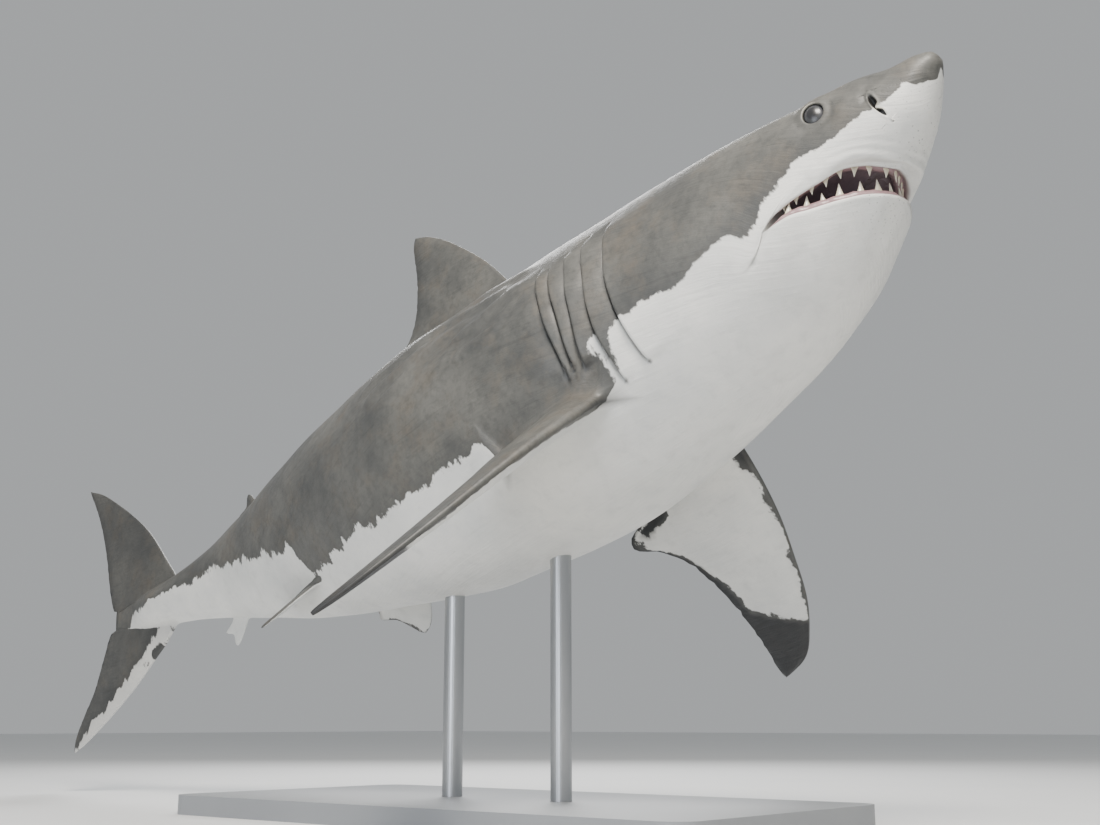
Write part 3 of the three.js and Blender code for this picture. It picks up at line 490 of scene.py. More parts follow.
class Shell:
    """A surface in the making: points, named fields on them, and four-cornered faces by point number."""

    def __init__(self):
        self.points, self.quads = [], []
        self.fields = {name: [] for name in FIELDS}
        self.count = 0

    def add(self, points, **fields):
        """Adds points, in the world, and returns their numbers in the same arrangement."""
        shape = points.shape[:-1]
        self.points.append(points.reshape(-1, 3))
        for name in FIELDS:
            value = np.broadcast_to(fields.get(name, 0.0), shape)
            self.fields[name].append(np.asarray(value, float).reshape(-1))
        numbers = self.count + np.arange(int(np.prod(shape))).reshape(shape)
        self.count += numbers.size
        return numbers

    def face(self, a, b, c, d):
        """Faces with corners a, b, c and d, which are arrays of point numbers."""
        self.quads.append(np.stack([np.ravel(a), np.ravel(b), np.ravel(c), np.ravel(d)], -1))

    def strips(self, numbers, closed):
        """Faces between neighbouring rows of numbers, each row closed to a ring or left open."""
        a, b = numbers[:-1], numbers[1:]
        if closed:
            self.face(a, b, np.roll(b, -1, axis=1), np.roll(a, -1, axis=1))
        else:
            self.face(a[:, :-1], b[:, :-1], b[:, 1:], a[:, 1:])

    def finish(self, name, material, fields=FIELDS):
        """The mesh object, without unused points. A face with a repeated corner becomes a triangle."""
        points = np.concatenate(self.points)
        quads = np.concatenate(self.quads)
        used = np.zeros(len(points), bool)
        used[quads.ravel()] = True
        renumber = np.cumsum(used) - 1
        quads = renumber[quads]
        repeated = quads == np.roll(quads, -1, axis=1)
        whole = quads[~repeated.any(1)]
        folded_faces = quads[repeated.sum(1) == 1]
        keep = ~repeated[repeated.sum(1) == 1]
        triangles = folded_faces[keep].reshape(-1, 3)
        mesh = bpy.data.meshes.new(name)
        mesh.vertices.add(int(used.sum()))
        mesh.vertices.foreach_set("co", points[used].astype(np.float32).ravel())
        loops = np.concatenate([whole.ravel(), triangles.ravel()]).astype(np.int32)
        starts = np.concatenate([
            np.arange(len(whole)) * 4,
            len(whole) * 4 + np.arange(len(triangles)) * 3,
        ]).astype(np.int32)
        mesh.loops.add(len(loops))
        mesh.loops.foreach_set("vertex_index", loops)
        mesh.polygons.add(len(starts))
        mesh.polygons.foreach_set("loop_start", starts)
        mesh.update(calc_edges=True)
        mesh.validate()
        mesh.polygons.foreach_set("use_smooth", np.ones(len(mesh.polygons), bool))
        for field in fields:
            values = np.concatenate(self.fields[field])[used].astype(np.float32)
            mesh.attributes.new(field, "FLOAT", "POINT").data.foreach_set("value", values)
        made = bpy.data.objects.new(name, mesh)
        bpy.context.scene.collection.objects.link(made)
        mesh.materials.append(material)
        return made


# ---- The skin's grid ----
HALF_COLUMNS = 160
CORNER = 78
column = np.arange(2 * HALF_COLUMNS)
half_column = np.where(column > HALF_COLUMNS, 2 * HALF_COLUMNS - column, column)
left = column > HALF_COLUMNS
turned = np.where(left, -1.0, 1.0)
mouth_share = np.clip((half_column - CORNER) / (HALF_COLUMNS - CORNER), 0, 1)
in_mouth = half_column >= CORNER
LEG = CORNER + 0.45 * (HALF_COLUMNS - CORNER)


def column_angles(corner, leg):
    """Degrees round for every column: a steady curve from back to belly through the mouth's corner."""
    return steady([0, CORNER, LEG, HALF_COLUMNS], [0, corner, leg, 180], half_column)


snout_deg, throat_deg, body_deg = column_angles(97, 118), column_angles(134, 157), column_angles(122, 150)


def lip_row(lip, ahead):
    """Share back, degrees and offset from the trunk of each column on the ring that holds a lip."""
    points = chain(lip, mouth_share)
    flat = folded(angle_of(points))
    corner = flat[CORNER]
    wide = 0.0003 + 0.007 * smooth((CORNER - half_column) / 26)
    s = np.where(in_mouth, points[:, 0], lip[0][0] + ahead * wide)
    plain = steady([0, CORNER], [0, corner], half_column)
    deg = np.where(in_mouth, flat, plain)
    away = points - trunk(s, np.radians(deg))
    fade = np.where(in_mouth, 1.0, smooth(1 - (CORNER - half_column) / 14))
    return s, deg, away * fade[:, None]


upper_s, upper_deg, upper_away = lip_row(UPPER_LIP, -1)
lower_s, lower_deg, lower_away = lip_row(LOWER_LIP, 1)


def to_angle(deg):
    """Degrees on each column's own side as an angle from 0 to a full turn."""
    return np.radians(np.where(left, 360 - deg, deg))


# Snout rows: even from the tip to past the nostrils, then fanned out to the upper lip.
SNOUT_ROWS = 46
EVEN_TO, EVEN_SHARE = 0.042, 0.43
snout_t = (np.arange(SNOUT_ROWS + 1) / SNOUT_ROWS)[:, None]
snout_s = np.where(
    snout_t < EVEN_SHARE, EVEN_TO * np.minimum(snout_t / EVEN_SHARE, 1) ** 1.1,
    EVEN_TO + (upper_s - EVEN_TO) * np.maximum((snout_t - EVEN_SHARE) / (1 - EVEN_SHARE), 0) ** 1.15)
snout_rows = snout_deg + (upper_deg - snout_deg) * snout_t**3
# Throat rows: from the lower lip back to the first gill.
THROAT_END = 0.2
THROAT_ROWS = 27
throat_t = (np.arange(THROAT_ROWS + 1) / THROAT_ROWS)[:, None] ** 1.25
throat_s = lower_s + (THROAT_END - lower_s) * throat_t
throat_rows = lower_deg + (throat_deg - lower_deg) * (1 - (1 - throat_t) ** 4)
throat_rows = throat_rows + (body_deg - throat_deg) * smooth(throat_t)

# Gill rows: some follow each slit, the rest share the room between.
GILL_END = 0.292
SLIT_OFFSETS = [-0.0024, -0.001, -0.0004, 0.0001, 0.0006, 0.0012, 0.0022]
gill_lines = []
for slit in GILL_SLITS:
    for offset in SLIT_OFFSETS:
        gill_lines.append(slit_line(slit, body_deg) + offset)
gill_s = np.array(gill_lines)
even = np.linspace(THROAT_END, GILL_END, len(gill_lines) + 2)[1:-1, None]
follow = smooth((body_deg - 44) / 14) * smooth((140 - body_deg) / 9)
gill_s = np.maximum.accumulate(even + (gill_s - even) * follow, axis=0)
gill_s = gill_s + np.linspace(0, 1e-4, len(gill_lines))[:, None]
gill_rows = np.repeat(body_deg[None], len(gill_s), axis=0)

# Body rows, straight rings back to where the columns halve.
HALVING = 0.5
BODY_ROWS, TAIL_ROWS = 46, 80
body_s = np.repeat(np.linspace(GILL_END, HALVING, BODY_ROWS)[:, None], 2 * HALF_COLUMNS, axis=1)
body_rows = np.repeat(body_deg[None], len(body_s), axis=0)
tail_s = np.repeat(np.linspace(HALVING, TAIL_END, TAIL_ROWS)[:, None], HALF_COLUMNS, axis=1)
tail_rows = np.repeat(body_deg[None, ::2], len(tail_s), axis=0)


# ---- Fins ----
# Rings of the hollow curve at a fin's root, counting both its ends, and how strongly it leaves the body and
# meets the blade.
PECTORAL_FILLET, OTHER_FILLET, FILLET_PULL = 13, 7, 0.9


def fin_axes(fin):
    """A fin's directions in body points: aft along its root, out along its span, flat across its blade."""
    lean, set_back = math.radians(fin[1]), math.radians(fin[2])
    out = np.array([0, math.cos(lean), math.sin(lean)])
    aft = np.array([math.cos(set_back), 0, -math.sin(set_back)])
    return aft, out, np.cross(aft, out)


def blade(fin, t, c, q):
    """A blade point: t from root to tip, c from front edge to back, q across its thickness from -1 to 1.
    The front edge is half round and droops at the root of a paired fin, the back edge is thin and a little
    frayed, the thickest part is a third of the way back, and the last of the tip is rounded."""
    root, _, _, thick, front, back = fin[:6]
    aft, out, flat = fin_axes(fin)
    t, c, q = np.broadcast_arrays(t, c, q)
    f, b = chain(front, t), chain(back, t)
    fray = 0.3 * np.sin(t * 151) + 0.3 * np.sin(t * 97 + 1) + 0.5 * np.maximum(np.sin(t * 61 + 2), 0.3)
    b[..., 0] -= FRAY * thick * fray * smooth((t - 0.2) / 0.15) * (1 - smooth((t - 0.85) / 0.12))
    narrow = np.sqrt(1 - 0.985 * np.clip((t - TIP_FROM) / (1 - TIP_FROM), 0, 1) ** 2)[..., None]
    middle = (f + b) / 2
    f, b = middle + (f - middle) * narrow, middle + (b - middle) * narrow
    wide = np.linalg.norm(b - f, axis=-1)
    fat = (thick * (1 - 0.85 * t**1.2) + FIN_EDGE) / 2 * (0.4 + 0.6 * narrow[..., 0])
    half = FIN_EDGE / 2 + fat * steady([0, 0.06, 0.2, 0.36, 0.7, 1], [0.42, 0.68, 0.95, 1, 0.58, 0], c)
    nose = np.minimum((FIN_EDGE / 2 + 0.42 * fat) / wide, 0.3)
    round_off = np.sqrt(np.clip(1 - q * q, 0, 1))
    x = nose + c * (1 - nose) - nose * round_off * (c <= 0) + FIN_EDGE / 2 / wide * round_off * (c >= 1)
    at = f + (b - f) * x[..., None]
    paired = abs(fin[1]) != 90
    droop = paired * 0.55 * thick * np.clip(1 - x / 0.5, 0, 1) ** 2 * np.clip(1 - t / 0.55, 0, 1) ** 2
    level = half * q - droop * np.sign(flat[2] + 1e-9)
    return np.array(root) + at[..., 0:1] * aft + at[..., 1:2] * out + level[..., None] * flat


def emerge(fin, c, q, height):
    """The t at which each blade line last leaves the trunk by a height."""
    t = np.linspace(0, 1, 500)[:, None]
    inside = outside(blade(fin, t, c, q)) < height
    last = len(t) - 1 - np.argmax(inside[::-1], axis=0)
    return np.where(inside.any(0), t[np.minimum(last + 1, len(t) - 1), 0], 0.0)


def root_line(fin):
    """Where the blade's middle leaves the trunk: share back and angle, from the front edge to the back."""
    c = np.linspace(0, 1, 30)
    p = blade(fin, emerge(fin, c, 0.0, 0.0), c, 0.0)
    return p[:, 0], angle_of(p)


def follow_root(fin, s, angle):
    """Bends the grid's columns near a paired fin so that they run along its root."""
    root_s, root_angle = root_line(fin)
    order = np.argsort(root_s)
    middle = np.interp(root_s.mean(), root_s[order], root_angle[order])
    shift = np.interp(s, root_s[order], root_angle[order]) - middle
    window = smooth((s - root_s.min() + 0.04) / 0.03) * smooth((root_s.max() + 0.04 - s) / 0.03)
    near = 1 - smooth((np.abs(angle - middle) - math.radians(13)) / math.radians(26))
    return angle + shift * window * near


def wrap(k, n):
    """Column numbers brought round the ring."""
    return np.asarray(k) % n


def cut_patch(s, angle, wanted_s, middle, columns):
    """The rectangle of the grid round a feature: its first and last row, and its first and last column."""
    n = angle.shape[1]
    if abs(math.sin(middle)) < 1e-6:
        centre = 0 if math.cos(middle) > 0 else n // 2
    else:
        row = int(np.argmin(np.abs(s[:, n // 4] - np.mean(wanted_s))))
        centre = int(np.argmin(np.abs(angle[row] - middle)))
    beside = s[:, wrap(centre, n)]
    first = int(np.searchsorted(beside, wanted_s[0])) - 1
    last = int(np.searchsorted(beside, wanted_s[1]))
    return max(first, 1), min(last, len(s) - 1), centre - columns, centre + columns


def patch_loop(first, last, low, high, n):
    """Row and column numbers round a rectangle: across its front, down its high side, and back."""
    front = [(first, k) for k in range(low, high)]
    high_side = [(i, high) for i in range(first, last)]
    rear = [(last, k) for k in range(high, low, -1)]
    low_side = [(i, low) for i in range(last, first, -1)]
    loop = np.array(front + high_side + rear + low_side)
    return loop[:, 0], wrap(loop[:, 1], n)


def hermite(a, b, from_a, to_b, t):
    """The cubic from a to b that leaves along from_a and arrives along to_b."""
    return (
        a * (2 * t**3 - 3 * t**2 + 1) + from_a * (t**3 - 2 * t**2 + t)
        + b * (3 * t**2 - 2 * t**3) + to_b * (t**3 - t**2)
    )


# ---- Fin markings ----
def fin_marks(name, t, c, q_up, wide, span):
    """Shade in metres and ink, 0 to 1, on a blade: both follow the distance from each edge and the tip."""
    from_front, from_back, from_tip = c * wide, (1 - c) * wide, (1 - t) * span
    up = (1 + q_up) / 2
    if name.startswith("pectoral"):
        rear = 0.014 + 0.022 * smooth((t - 0.3) / 0.4) - from_back
        patch = 0.044 - np.hypot(from_back - 0.06, 0.55 * (t - 0.25) * span)
        tip = 0.27 + 0.07 * c - from_tip
        root = 0.045 * smooth((0.26 - t) / 0.2) - from_front
        under = np.maximum.reduce([rear, patch, tip, root, 0.002 - from_front])
        under = np.clip(under, -0.12, 0.12)
        ink = smooth(under / 0.02) * (1 - up) + 0.75 * up * smooth((0.3 - from_tip) / 0.25)
        return under * (1 - up) + 0.1 * up, ink
    if name.startswith("pelvic"):
        under = np.clip(0.012 - np.minimum(from_back, from_tip), -0.1, 0.1)
        return under * (1 - up) + 0.1 * up, 0.6 * smooth(under / 0.01) * (1 - up)
    if name == "caudal_lower":
        patch = 0.012 - np.hypot(from_front - 0.002, 0.25 * (t - 0.26) * span)
        return np.clip(np.maximum(from_front - 0.078 * (1 - t) ** 0.3, patch), -0.1, 0.1), 0.3 + 0 * t
    if name == "caudal_upper":
        return 0.1 + 0 * t, 0.3 + 0.3 * smooth((0.05 - from_back) / 0.05)
    if name == "anal_fin":
        return np.clip(-0.02 - from_back, -0.06, 0.1), 0 * t
    return 0.1 + 0 * t, 0.35 * smooth((0.05 - from_back) / 0.05) * smooth((t - 0.3) / 0.5)


def add_fin(shell, name, numbers, s, angle, body):
    """Replaces a rectangle of the skin's grid by a fin: rings run from the rectangle's edge up a hollow
    curve to where the blade leaves the trunk, and on to its tip. Returns the rectangle."""
    fin = FINS[name]
    steps, ahead, beside = fin[6:]
    _, out, flat = fin_axes(fin)
    pectoral = name.startswith("pectoral")
    root_s, root_angle = root_line(fin)
    ends = blade(fin, emerge(fin, np.array([0.0, 1.0]), 0.0, 0.0), np.array([0.0, 1.0]), 0.0)[:, 0]
    middle = float(np.interp(root_s.mean(), np.sort(root_s), root_angle[np.argsort(root_s)]))
    if fin[1] in (90, -90):
        middle = 0.0 if fin[1] > 0 else math.pi
    n = angle.shape[1]
    reach = np.hypot(*trunk(np.array(root_s.mean()), np.array(middle))[1:])
    spacing = np.median(np.diff(angle[np.argmin(np.abs(s[:, n // 4] - root_s.mean()))])[
        np.abs(angle[0, :-1] - middle) < 0.5]) if middle else angle[-1, 1] - angle[-1, 0]
    columns = max(2, int(round((fin[3] / 2 + beside) / reach / spacing)))
    first, last, low, high = cut_patch(s, angle, (ends[0] - ahead, ends[1] + ahead * 0.6), middle, columns)
    i, k = patch_loop(first, last, low, high, n)
    m, across = last - first, 2 * columns
    high_s, low_s = s[first : last + 1, high % n], s[first : last + 1, low % n]
    mean_s = (high_s + low_s) / 2
    c_side = (mean_s - mean_s[0]) / (mean_s[-1] - mean_s[0])
    q_across = np.sin(np.linspace(-1, 1, across + 1) * math.pi / 2)
    c = np.concatenate([np.zeros(across), c_side[:-1], np.ones(across), c_side[:0:-1]])
    q = np.concatenate([q_across[:-1], np.ones(m), q_across[:0:-1], -np.ones(m)])
    here = np.array(root_s.mean()), np.array(middle)
    round_way = trunk(here[0], here[1] + 0.01) - trunk(here[0], here[1] - 0.01)
    q = q * np.sign(round_way @ flat)
    t0 = emerge(fin, c, q, 0.6 * beside * (1 - 0.6 * smooth((c - 0.7) / 0.3)))
    t0 = (np.roll(t0, 1) + 2 * t0 + np.roll(t0, -1)) / 4
    t = t0 + (1 - t0) * (1 - (1 - np.linspace(0, 1, steps)) ** 1.25)[:, None]
    rings = blade(fin, t, c, q)
    normal = trunk_out(s[i, k], angle[i, k])
    edge = body[i, k] - normal * gill_shape(s[i, k], folded(angle[i, k]))[0][:, None]
    gap = rings[0] - edge
    far = np.linalg.norm(gap, axis=-1, keepdims=True)
    leave = gap - (gap * normal).sum(-1, keepdims=True) * normal
    arrive = unit(blade(fin, t0 + 0.01, c, q) - rings[0]) * far
    share = np.linspace(0, 1, PECTORAL_FILLET if pectoral else OTHER_FILLET)[1:-1, None, None]
    fillet = hermite(edge, rings[0], leave * FILLET_PULL, arrive * FILLET_PULL, share)
    height = np.maximum(outside(fillet), 0) * pectoral
    moved = fillet[..., 0] + GILL_FORWARD_BY * height, folded(angle_of(fillet)) - GILL_DOWN_BY * height
    # The gill slits and their painted shade run on over the pectoral's root, fading out along it.
    lift, dark = gill_shape(*moved)
    fade = 1 - smooth((share - GILL_FADE_FROM) / GILL_FADE_OVER)
    fillet = fillet + normal * lift[..., None] * fade
    slit = np.concatenate([dark * fade[..., 0], 0 * rings[..., 0]])
    up = np.sign(flat[2]) if abs(flat[2]) > 0.1 else 0.0
    f, b = chain(fin[4], t), chain(fin[5], t)
    wide = np.linalg.norm(b - f, axis=-1) * LENGTH
    span = np.linalg.norm(np.diff(np.array(fin[4]), axis=0), axis=1).sum() * LENGTH
    shade, ink = fin_marks(name, t, c, q * up, wide, span)
    root_shade = shade_of(s[i, k], angle[i, k])
    blend_in = share[..., 0]
    first_shade = root_shade + (shade[0] - root_shade) * smooth(blend_in)
    points = np.concatenate([fillet, rings])
    here = lengths_of(s[i, k], angle[i, k])
    base = float(np.mean(here["around"]))
    around = (points - fin[0]) @ out * LENGTH + base
    away = np.clip(np.arange(len(points)) / (len(share) + 2), 0, 1)[:, None]
    around = here["around"] * (1 - away) + around * away
    ids = shell.add(place(points), shade=np.concatenate([first_shade, shade]),
                    ink=np.concatenate([ink[0] * blend_in, ink]), slit=slit, along=points[..., 0] * LENGTH,
                    around=around)
    tip_c, tip_t = c_side, np.ones(m + 1)
    tip_marks = fin_marks(name, tip_t, tip_c, 0 * tip_c, 0.02 + 0 * tip_c, span)
    tip_line = blade(fin, tip_t, tip_c, 0.0)
    tip = shell.add(place(tip_line), shade=tip_marks[0], ink=tip_marks[1], along=tip_line[:, 0] * LENGTH,
                    around=(tip_line - fin[0]) @ out * LENGTH + base)
    tip_ring = np.concatenate([np.full(across, tip[0]), tip[:-1], np.full(across, tip[-1]), tip[:0:-1]])
    shell.strips(np.concatenate([numbers[i, k][None], ids, tip_ring[None]]), True)
    return first, last, low, high


def grid_faces(shell, numbers, holes):
    """Faces of the closed grid, except inside the rectangles where a feature takes their place."""
    keep = np.ones((numbers.shape[0] - 1, numbers.shape[1]), bool)
    for first, last, low, high in holes:
        keep[first:last, wrap(np.arange(low, high), numbers.shape[1])] = False
    a, b = numbers[:-1], numbers[1:]
    c, d = np.roll(b, -1, axis=1), np.roll(a, -1, axis=1)
    shell.face(a[keep], b[keep], c[keep], d[keep])


# ---- Eye and nostril openings ----
def opening_at(s, height, side):
    """The skin's share and angle at a share back and a height, on one side."""
    top, bottom, half, above, below = ring_sizes(s)
    full, reach = np.where(height > 0, above, below), np.where(height > 0, top, bottom)
    out = half * np.clip(1 - (np.abs(height) / reach) ** full, 1e-4, 1) ** (1 / full)
    return s, angle_of(np.stack([s, side * out, height], -1))


def add_opening(shell, numbers, s, angle, side, centre, outline, levels, marks, half_rows, above, below):
    """Replaces a rectangle of the grid by rings that close in on an opening: outline(turn, size) gives its
    side view, levels are (size, height off the skin at its top and at its foot) from outside in, marks gives
    the fields of a ring, and above and below count the columns it spans. Returns the rectangle."""
    n = angle.shape[1]
    middle = opening_at(np.array(centre[0]), np.array(centre[1]), side)[1]
    row = int(np.argmin(np.abs(s[:SNOUT_ROWS, n // 4] - centre[0])))
    k0 = int(np.argmin(np.abs(angle[row] - middle)))
    row = int(np.argmin(np.abs(s[:SNOUT_ROWS, k0] - centre[0])))
    before, after = (above, below) if side > 0 else (below, above)
    rect = (row - half_rows, row + half_rows, k0 - before, k0 + after)
    i, k = patch_loop(*rect, n)
    edge_s, edge_angle = s[i, k], angle[i, k]
    edge = trunk(edge_s, edge_angle)
    way = np.arctan2(edge[:, 2] - centre[1], edge[:, 0] - centre[0])
    first = opening_at(*outline(way, levels[0][0]), side)
    # The slit field here is painted shade: that of the slits and creases the rings cross, and the dark inside
    # the opening.
    rings, fields = [], {"pale": [], "slit": []}
    for share in (0.3, 0.6, 0.85):
        at = edge_s + (first[0] - edge_s) * share, edge_angle + (first[1] - edge_angle) * share
        on_skin, dark = body_skin(*at)
        rings.append(on_skin)
        fields["pale"].append(0 * way)
        fields["slit"].append(dark)
    out = unit(np.array([-EYE_SLOPE, side, 0.0]))
    for size, high, low in levels:
        on_skin, dark = body_skin(*opening_at(*outline(way, size), side))
        height = low + (high - low) * (1 + np.sin(way)) / 2
        rings.append(on_skin + out * height[:, None])
        pale, slit = marks(size, way)
        fields["pale"].append(pale)
        fields["slit"].append(np.maximum(slit, dark))
    rings = np.array(rings)
    values = {name: np.array(v) for name, v in fields.items()}
    ring_angle = angle_of(rings)
    ids = shell.add(place(rings), shade=shade_of(rings[..., 0], ring_angle), snout=snout_of(rings[..., 0]),
                    **values, **lengths_of(rings[..., 0], ring_angle))
    # The opening's bottom point is dark with painted shade.
    pole = shell.add(place(rings[-1].mean(0)[None]), slit=1.0)
    shell.strips(np.concatenate([numbers[i, k][None], ids, np.full((1, len(i)), pole[0])]), True)
    return rect


def snout_of(s):
    """1 at the snout, fading out behind the eyes."""
    return smooth((0.13 - s) / 0.09)


def eye_outline(way, size):
    """A rounded ring in side view: share back and height."""
    return EYE_AT[0] + size * EYE_WIDE * np.cos(way), EYE_AT[2] + size * EYE_TALL * np.sin(way)


def eye_marks(size, way):
    """A thin pale crescent over the top of the eye's rim, a painted highlight, and painted shade inside the
    socket.
    """
    return 0.7 * (0.98 < size < 1.06) * np.clip(np.cos(way - 1.3), 0, 1) ** 2, 1.0 * (size < 0.97) + 0 * way


def nostril_outline(way, size):
    """A tall slot in side view, with a flap of its front edge nearly closing its middle."""
    tall, wide = 0.0085, 0.0018
    up = np.sin(way)
    flap = 1.35 * wide * np.exp(-(((up + 0.2) / 0.2) ** 2)) * np.clip(-2 * np.cos(way), 0, 1)
    back = size * wide * np.cos(way) * (1 + 0.15 * up) + flap * (1 - smooth((size - 1) / 0.4)) + 0.0005 * up
    return NOSTRIL_AT[0] + back, NOSTRIL_AT[1] + size * tall * up


def nostril_marks(size, way):
    """Pale skin on the nostril's flap and along its lower front edge, and painted shade inside."""
    up, back = np.sin(way), np.cos(way)
    flap = np.exp(-(((up + 0.35) / 0.3) ** 2)) * (back < 0.1)
    rear = 0.7 * np.exp(-(((up + 0.2) / 0.2) ** 2)) * (back > 0)
    return 0.85 * (0.8 < size < 1.4) * np.maximum(flap, rear), 1.0 * (size < 0.92) + 0 * way


# Rings of the openings from outside in: size, height at the top, height at the foot.
EYE_LEVELS = [
    (1.75, 0, -0.0003), (1.5, 0.0001, 0.0002), (1.25, 0.0003, 0.0006), (1.1, 0.0006, 0.0006),
    (1.03, 0.0006, 0.0004), (0.99, 0.0002, 0.0001), (0.97, -0.0006, -0.0006), (0.96, -0.0016, -0.0016),
    (0.955, -0.0034, -0.0034), (0.6, -0.005, -0.005),
]
NOSTRIL_LEVELS = [
    (1.45, 0, 0), (1.2, 0.0002, 0.0003), (1.0, 0.0001, 0.0002), (0.88, -0.0010, -0.0010),
    (0.78, -0.0026, -0.0024), (0.5, -0.0042, -0.0038),
]

# ---- The mouth's inside ----
# From the upper lip round to the lower: inward from the lip, up from it, how fleshy and how deep.
UPPER_POCKET = [
    (0.0007, -0.0006, 0.0, 0), (0.0017, -0.0004, 0.3, 0), (0.0026, 0.0005, 0.7, 0.1), (0.0032, 0.002, 1, 0.3),
    (0.0042, 0.004, 1, 0.5), (0.0075, 0.0072, 1, 0.7), (0.014, 0.0105, 1, 0.85), (0.026, 0.0125, 1, 1),
    (0.04, 0.009, 1, 1),
]
LOWER_POCKET = [
    (0.04, 0.0, 1, 1), (0.026, -0.005, 1, 0.9), (0.014, -0.0045, 1, 0.7), (0.0085, -0.0034, 1, 0.45),
    (0.0054, -0.0028, 1, 0.3), (0.0036, -0.0016, 1, 0.1), (0.0026, -0.0002, 0.8, 0),
    (0.0016, 0.0007, 0.35, 0), (0.0007, 0.0006, 0.0, 0),
]
POCKET_ROWS = len(UPPER_POCKET) + len(LOWER_POCKET)


def lip_inward(points):
    """Level unit vectors from lip points to the mouth's centre, and how far it is."""
    way = (MOUTH_CENTRE - points) * np.array([1, 1, 0])
    return unit(way), np.linalg.norm(way, axis=-1)


def mirrored(p):
    """Right-hand body points carried to each column's own side."""
    return p * np.stack([np.ones_like(turned), turned, np.ones_like(turned)], -1)


def build_skin(material):
    """The whole skin: one closed grid from snout to tail, whose rows bend round the mouth and the gill slits,
    with openings for the eyes and nostrils, a pocket for the mouth, and nine fins."""
    shell = Shell()
    upper_angle, lower_angle = to_angle(upper_deg), to_angle(lower_deg)
    snout_angle = to_angle(snout_rows[1:])
    snout_body, snout_dark = body_skin(snout_s[1:], snout_angle)
    snout_body = snout_body + mirrored(upper_away) * smooth((snout_t[1:, :, None] - 0.75) / 0.25)
    throat_angle = to_angle(throat_rows)
    throat_body, throat_dark = body_skin(throat_s, throat_angle)
    throat_body = throat_body + mirrored(lower_away) * (1 - smooth(throat_t[..., None] / 0.5))

    share = (np.arange(POCKET_ROWS) + 1)[:, None] / (POCKET_ROWS + 1)
    pocket_s = upper_s + (lower_s - upper_s) * share
    pocket_angle = upper_angle + (lower_angle - upper_angle) * share
    on_skin, pocket_dark = body_skin(pocket_s, pocket_angle)
    down = share[..., None]
    on_skin = on_skin + mirrored(upper_away) * (1 - down) + mirrored(lower_away) * down
    upper_edge, lower_edge = snout_body[-1], throat_body[0]
    between = upper_edge + (lower_edge - upper_edge) * down
    open_share = smooth(mouth_share / 0.2)[None, :, None]
    steps = []
    for edge, table in ((upper_edge, UPPER_POCKET), (lower_edge, LOWER_POCKET)):
        way, far = lip_inward(edge)
        for inward, lift, _, _ in table:
            steps.append(edge + way * np.minimum(inward, 0.75 * far)[:, None] + np.array([0, 0, lift]))
    pocket_body = between + (np.array(steps) - between) * open_share
    pocket_body = np.where(in_mouth[None, :, None], pocket_body, on_skin)
    marks = np.array([row[2:] for row in UPPER_POCKET + LOWER_POCKET])
    flesh = marks[:, :1] * open_share[..., 0] * in_mouth
    deep = marks[:, 1:] * open_share[..., 0] * in_mouth

    rear_s = np.concatenate([gill_s, body_s])
    rear_angle = to_angle(np.concatenate([gill_rows, body_rows]))
    for name in ("pectoral_right", "pectoral_left"):
        rear_angle = follow_root(FINS[name], rear_s, rear_angle)
    rear_body, rear_dark = body_skin(rear_s, rear_angle)

    s = np.concatenate([snout_s[1:], pocket_s, throat_s, rear_s])
    angle = np.concatenate([snout_angle, pocket_angle, throat_angle, rear_angle])
    body = np.concatenate([snout_body, pocket_body, throat_body, rear_body])
    dark = np.concatenate([snout_dark, pocket_dark, throat_dark, rear_dark])
    pad = np.zeros_like(dark)
    flesh_all, deep_all = pad.copy(), pad.copy()
    flesh_all[SNOUT_ROWS : SNOUT_ROWS + POCKET_ROWS] = flesh
    deep_all[SNOUT_ROWS : SNOUT_ROWS + POCKET_ROWS] = deep
    numbers = shell.add(place(body), shade=shade_of(s, angle), slit=dark, flesh=flesh_all, deep=deep_all,
                        snout=snout_of(s), **lengths_of(s, angle))
    holes = []
    openings = (
        ((EYE_AT[0], EYE_AT[2]), eye_outline, EYE_LEVELS, eye_marks, 6, 17, 17),
        (NOSTRIL_AT, nostril_outline, NOSTRIL_LEVELS, nostril_marks, 4, 21, 46),
    )
    for side in (1, -1):
        for opening in openings:
            holes.append(add_opening(shell, numbers, s, angle, side, *opening))
    for name in ("pectoral_right", "pectoral_left", "dorsal_first"):
        holes.append(add_fin(shell, name, numbers, s, angle, body))
    grid_faces(shell, numbers, holes)
    pole = shell.add(place(np.array([[TIP_BACK, 0.0, TIP_LIFT]])), shade=0.1, snout=1.0)[0]
    first = numbers[0]
    shell.face(np.full(len(first), pole), first, np.roll(first, -1), np.full(len(first), pole))

    tail_angle = np.radians(np.where(left[::2], 360 - tail_rows, tail_rows))
    for name in ("pelvic_right", "pelvic_left"):
        tail_angle = follow_root(FINS[name], tail_s, tail_angle)
    tail_body, _ = body_skin(tail_s, tail_angle)
    tail_body, tail_s_used, tail_angle = tail_body[1:], tail_s[1:], tail_angle[1:]
    tail = shell.add(place(tail_body), shade=shade_of(tail_s_used, tail_angle),
                     **lengths_of(tail_s_used, tail_angle))
    holes = []
    for name in ("pelvic_right", "pelvic_left", "dorsal_second", "anal_fin", "caudal_upper", "caudal_lower"):
        holes.append(add_fin(shell, name, tail, tail_s_used, tail_angle, tail_body))
    grid_faces(shell, tail, holes)
    fine, coarse = numbers[-1], tail[0]
    after = np.roll(coarse, -1)
    even, odd, next_even = fine[::2], fine[1::2], np.roll(fine[::2], -1)
    shell.face(even, coarse, coarse, odd)
    shell.face(odd, coarse, after, after)
    shell.face(odd, after, next_even, next_even)
    end = tail[-1]
    k = np.arange(HALF_COLUMNS // 2)
    other = wrap(-k, HALF_COLUMNS)
    shell.face(end[k], end[other], end[wrap(other - 1, HALF_COLUMNS)], end[k + 1])
    return shell.finish("shark_skin", material)


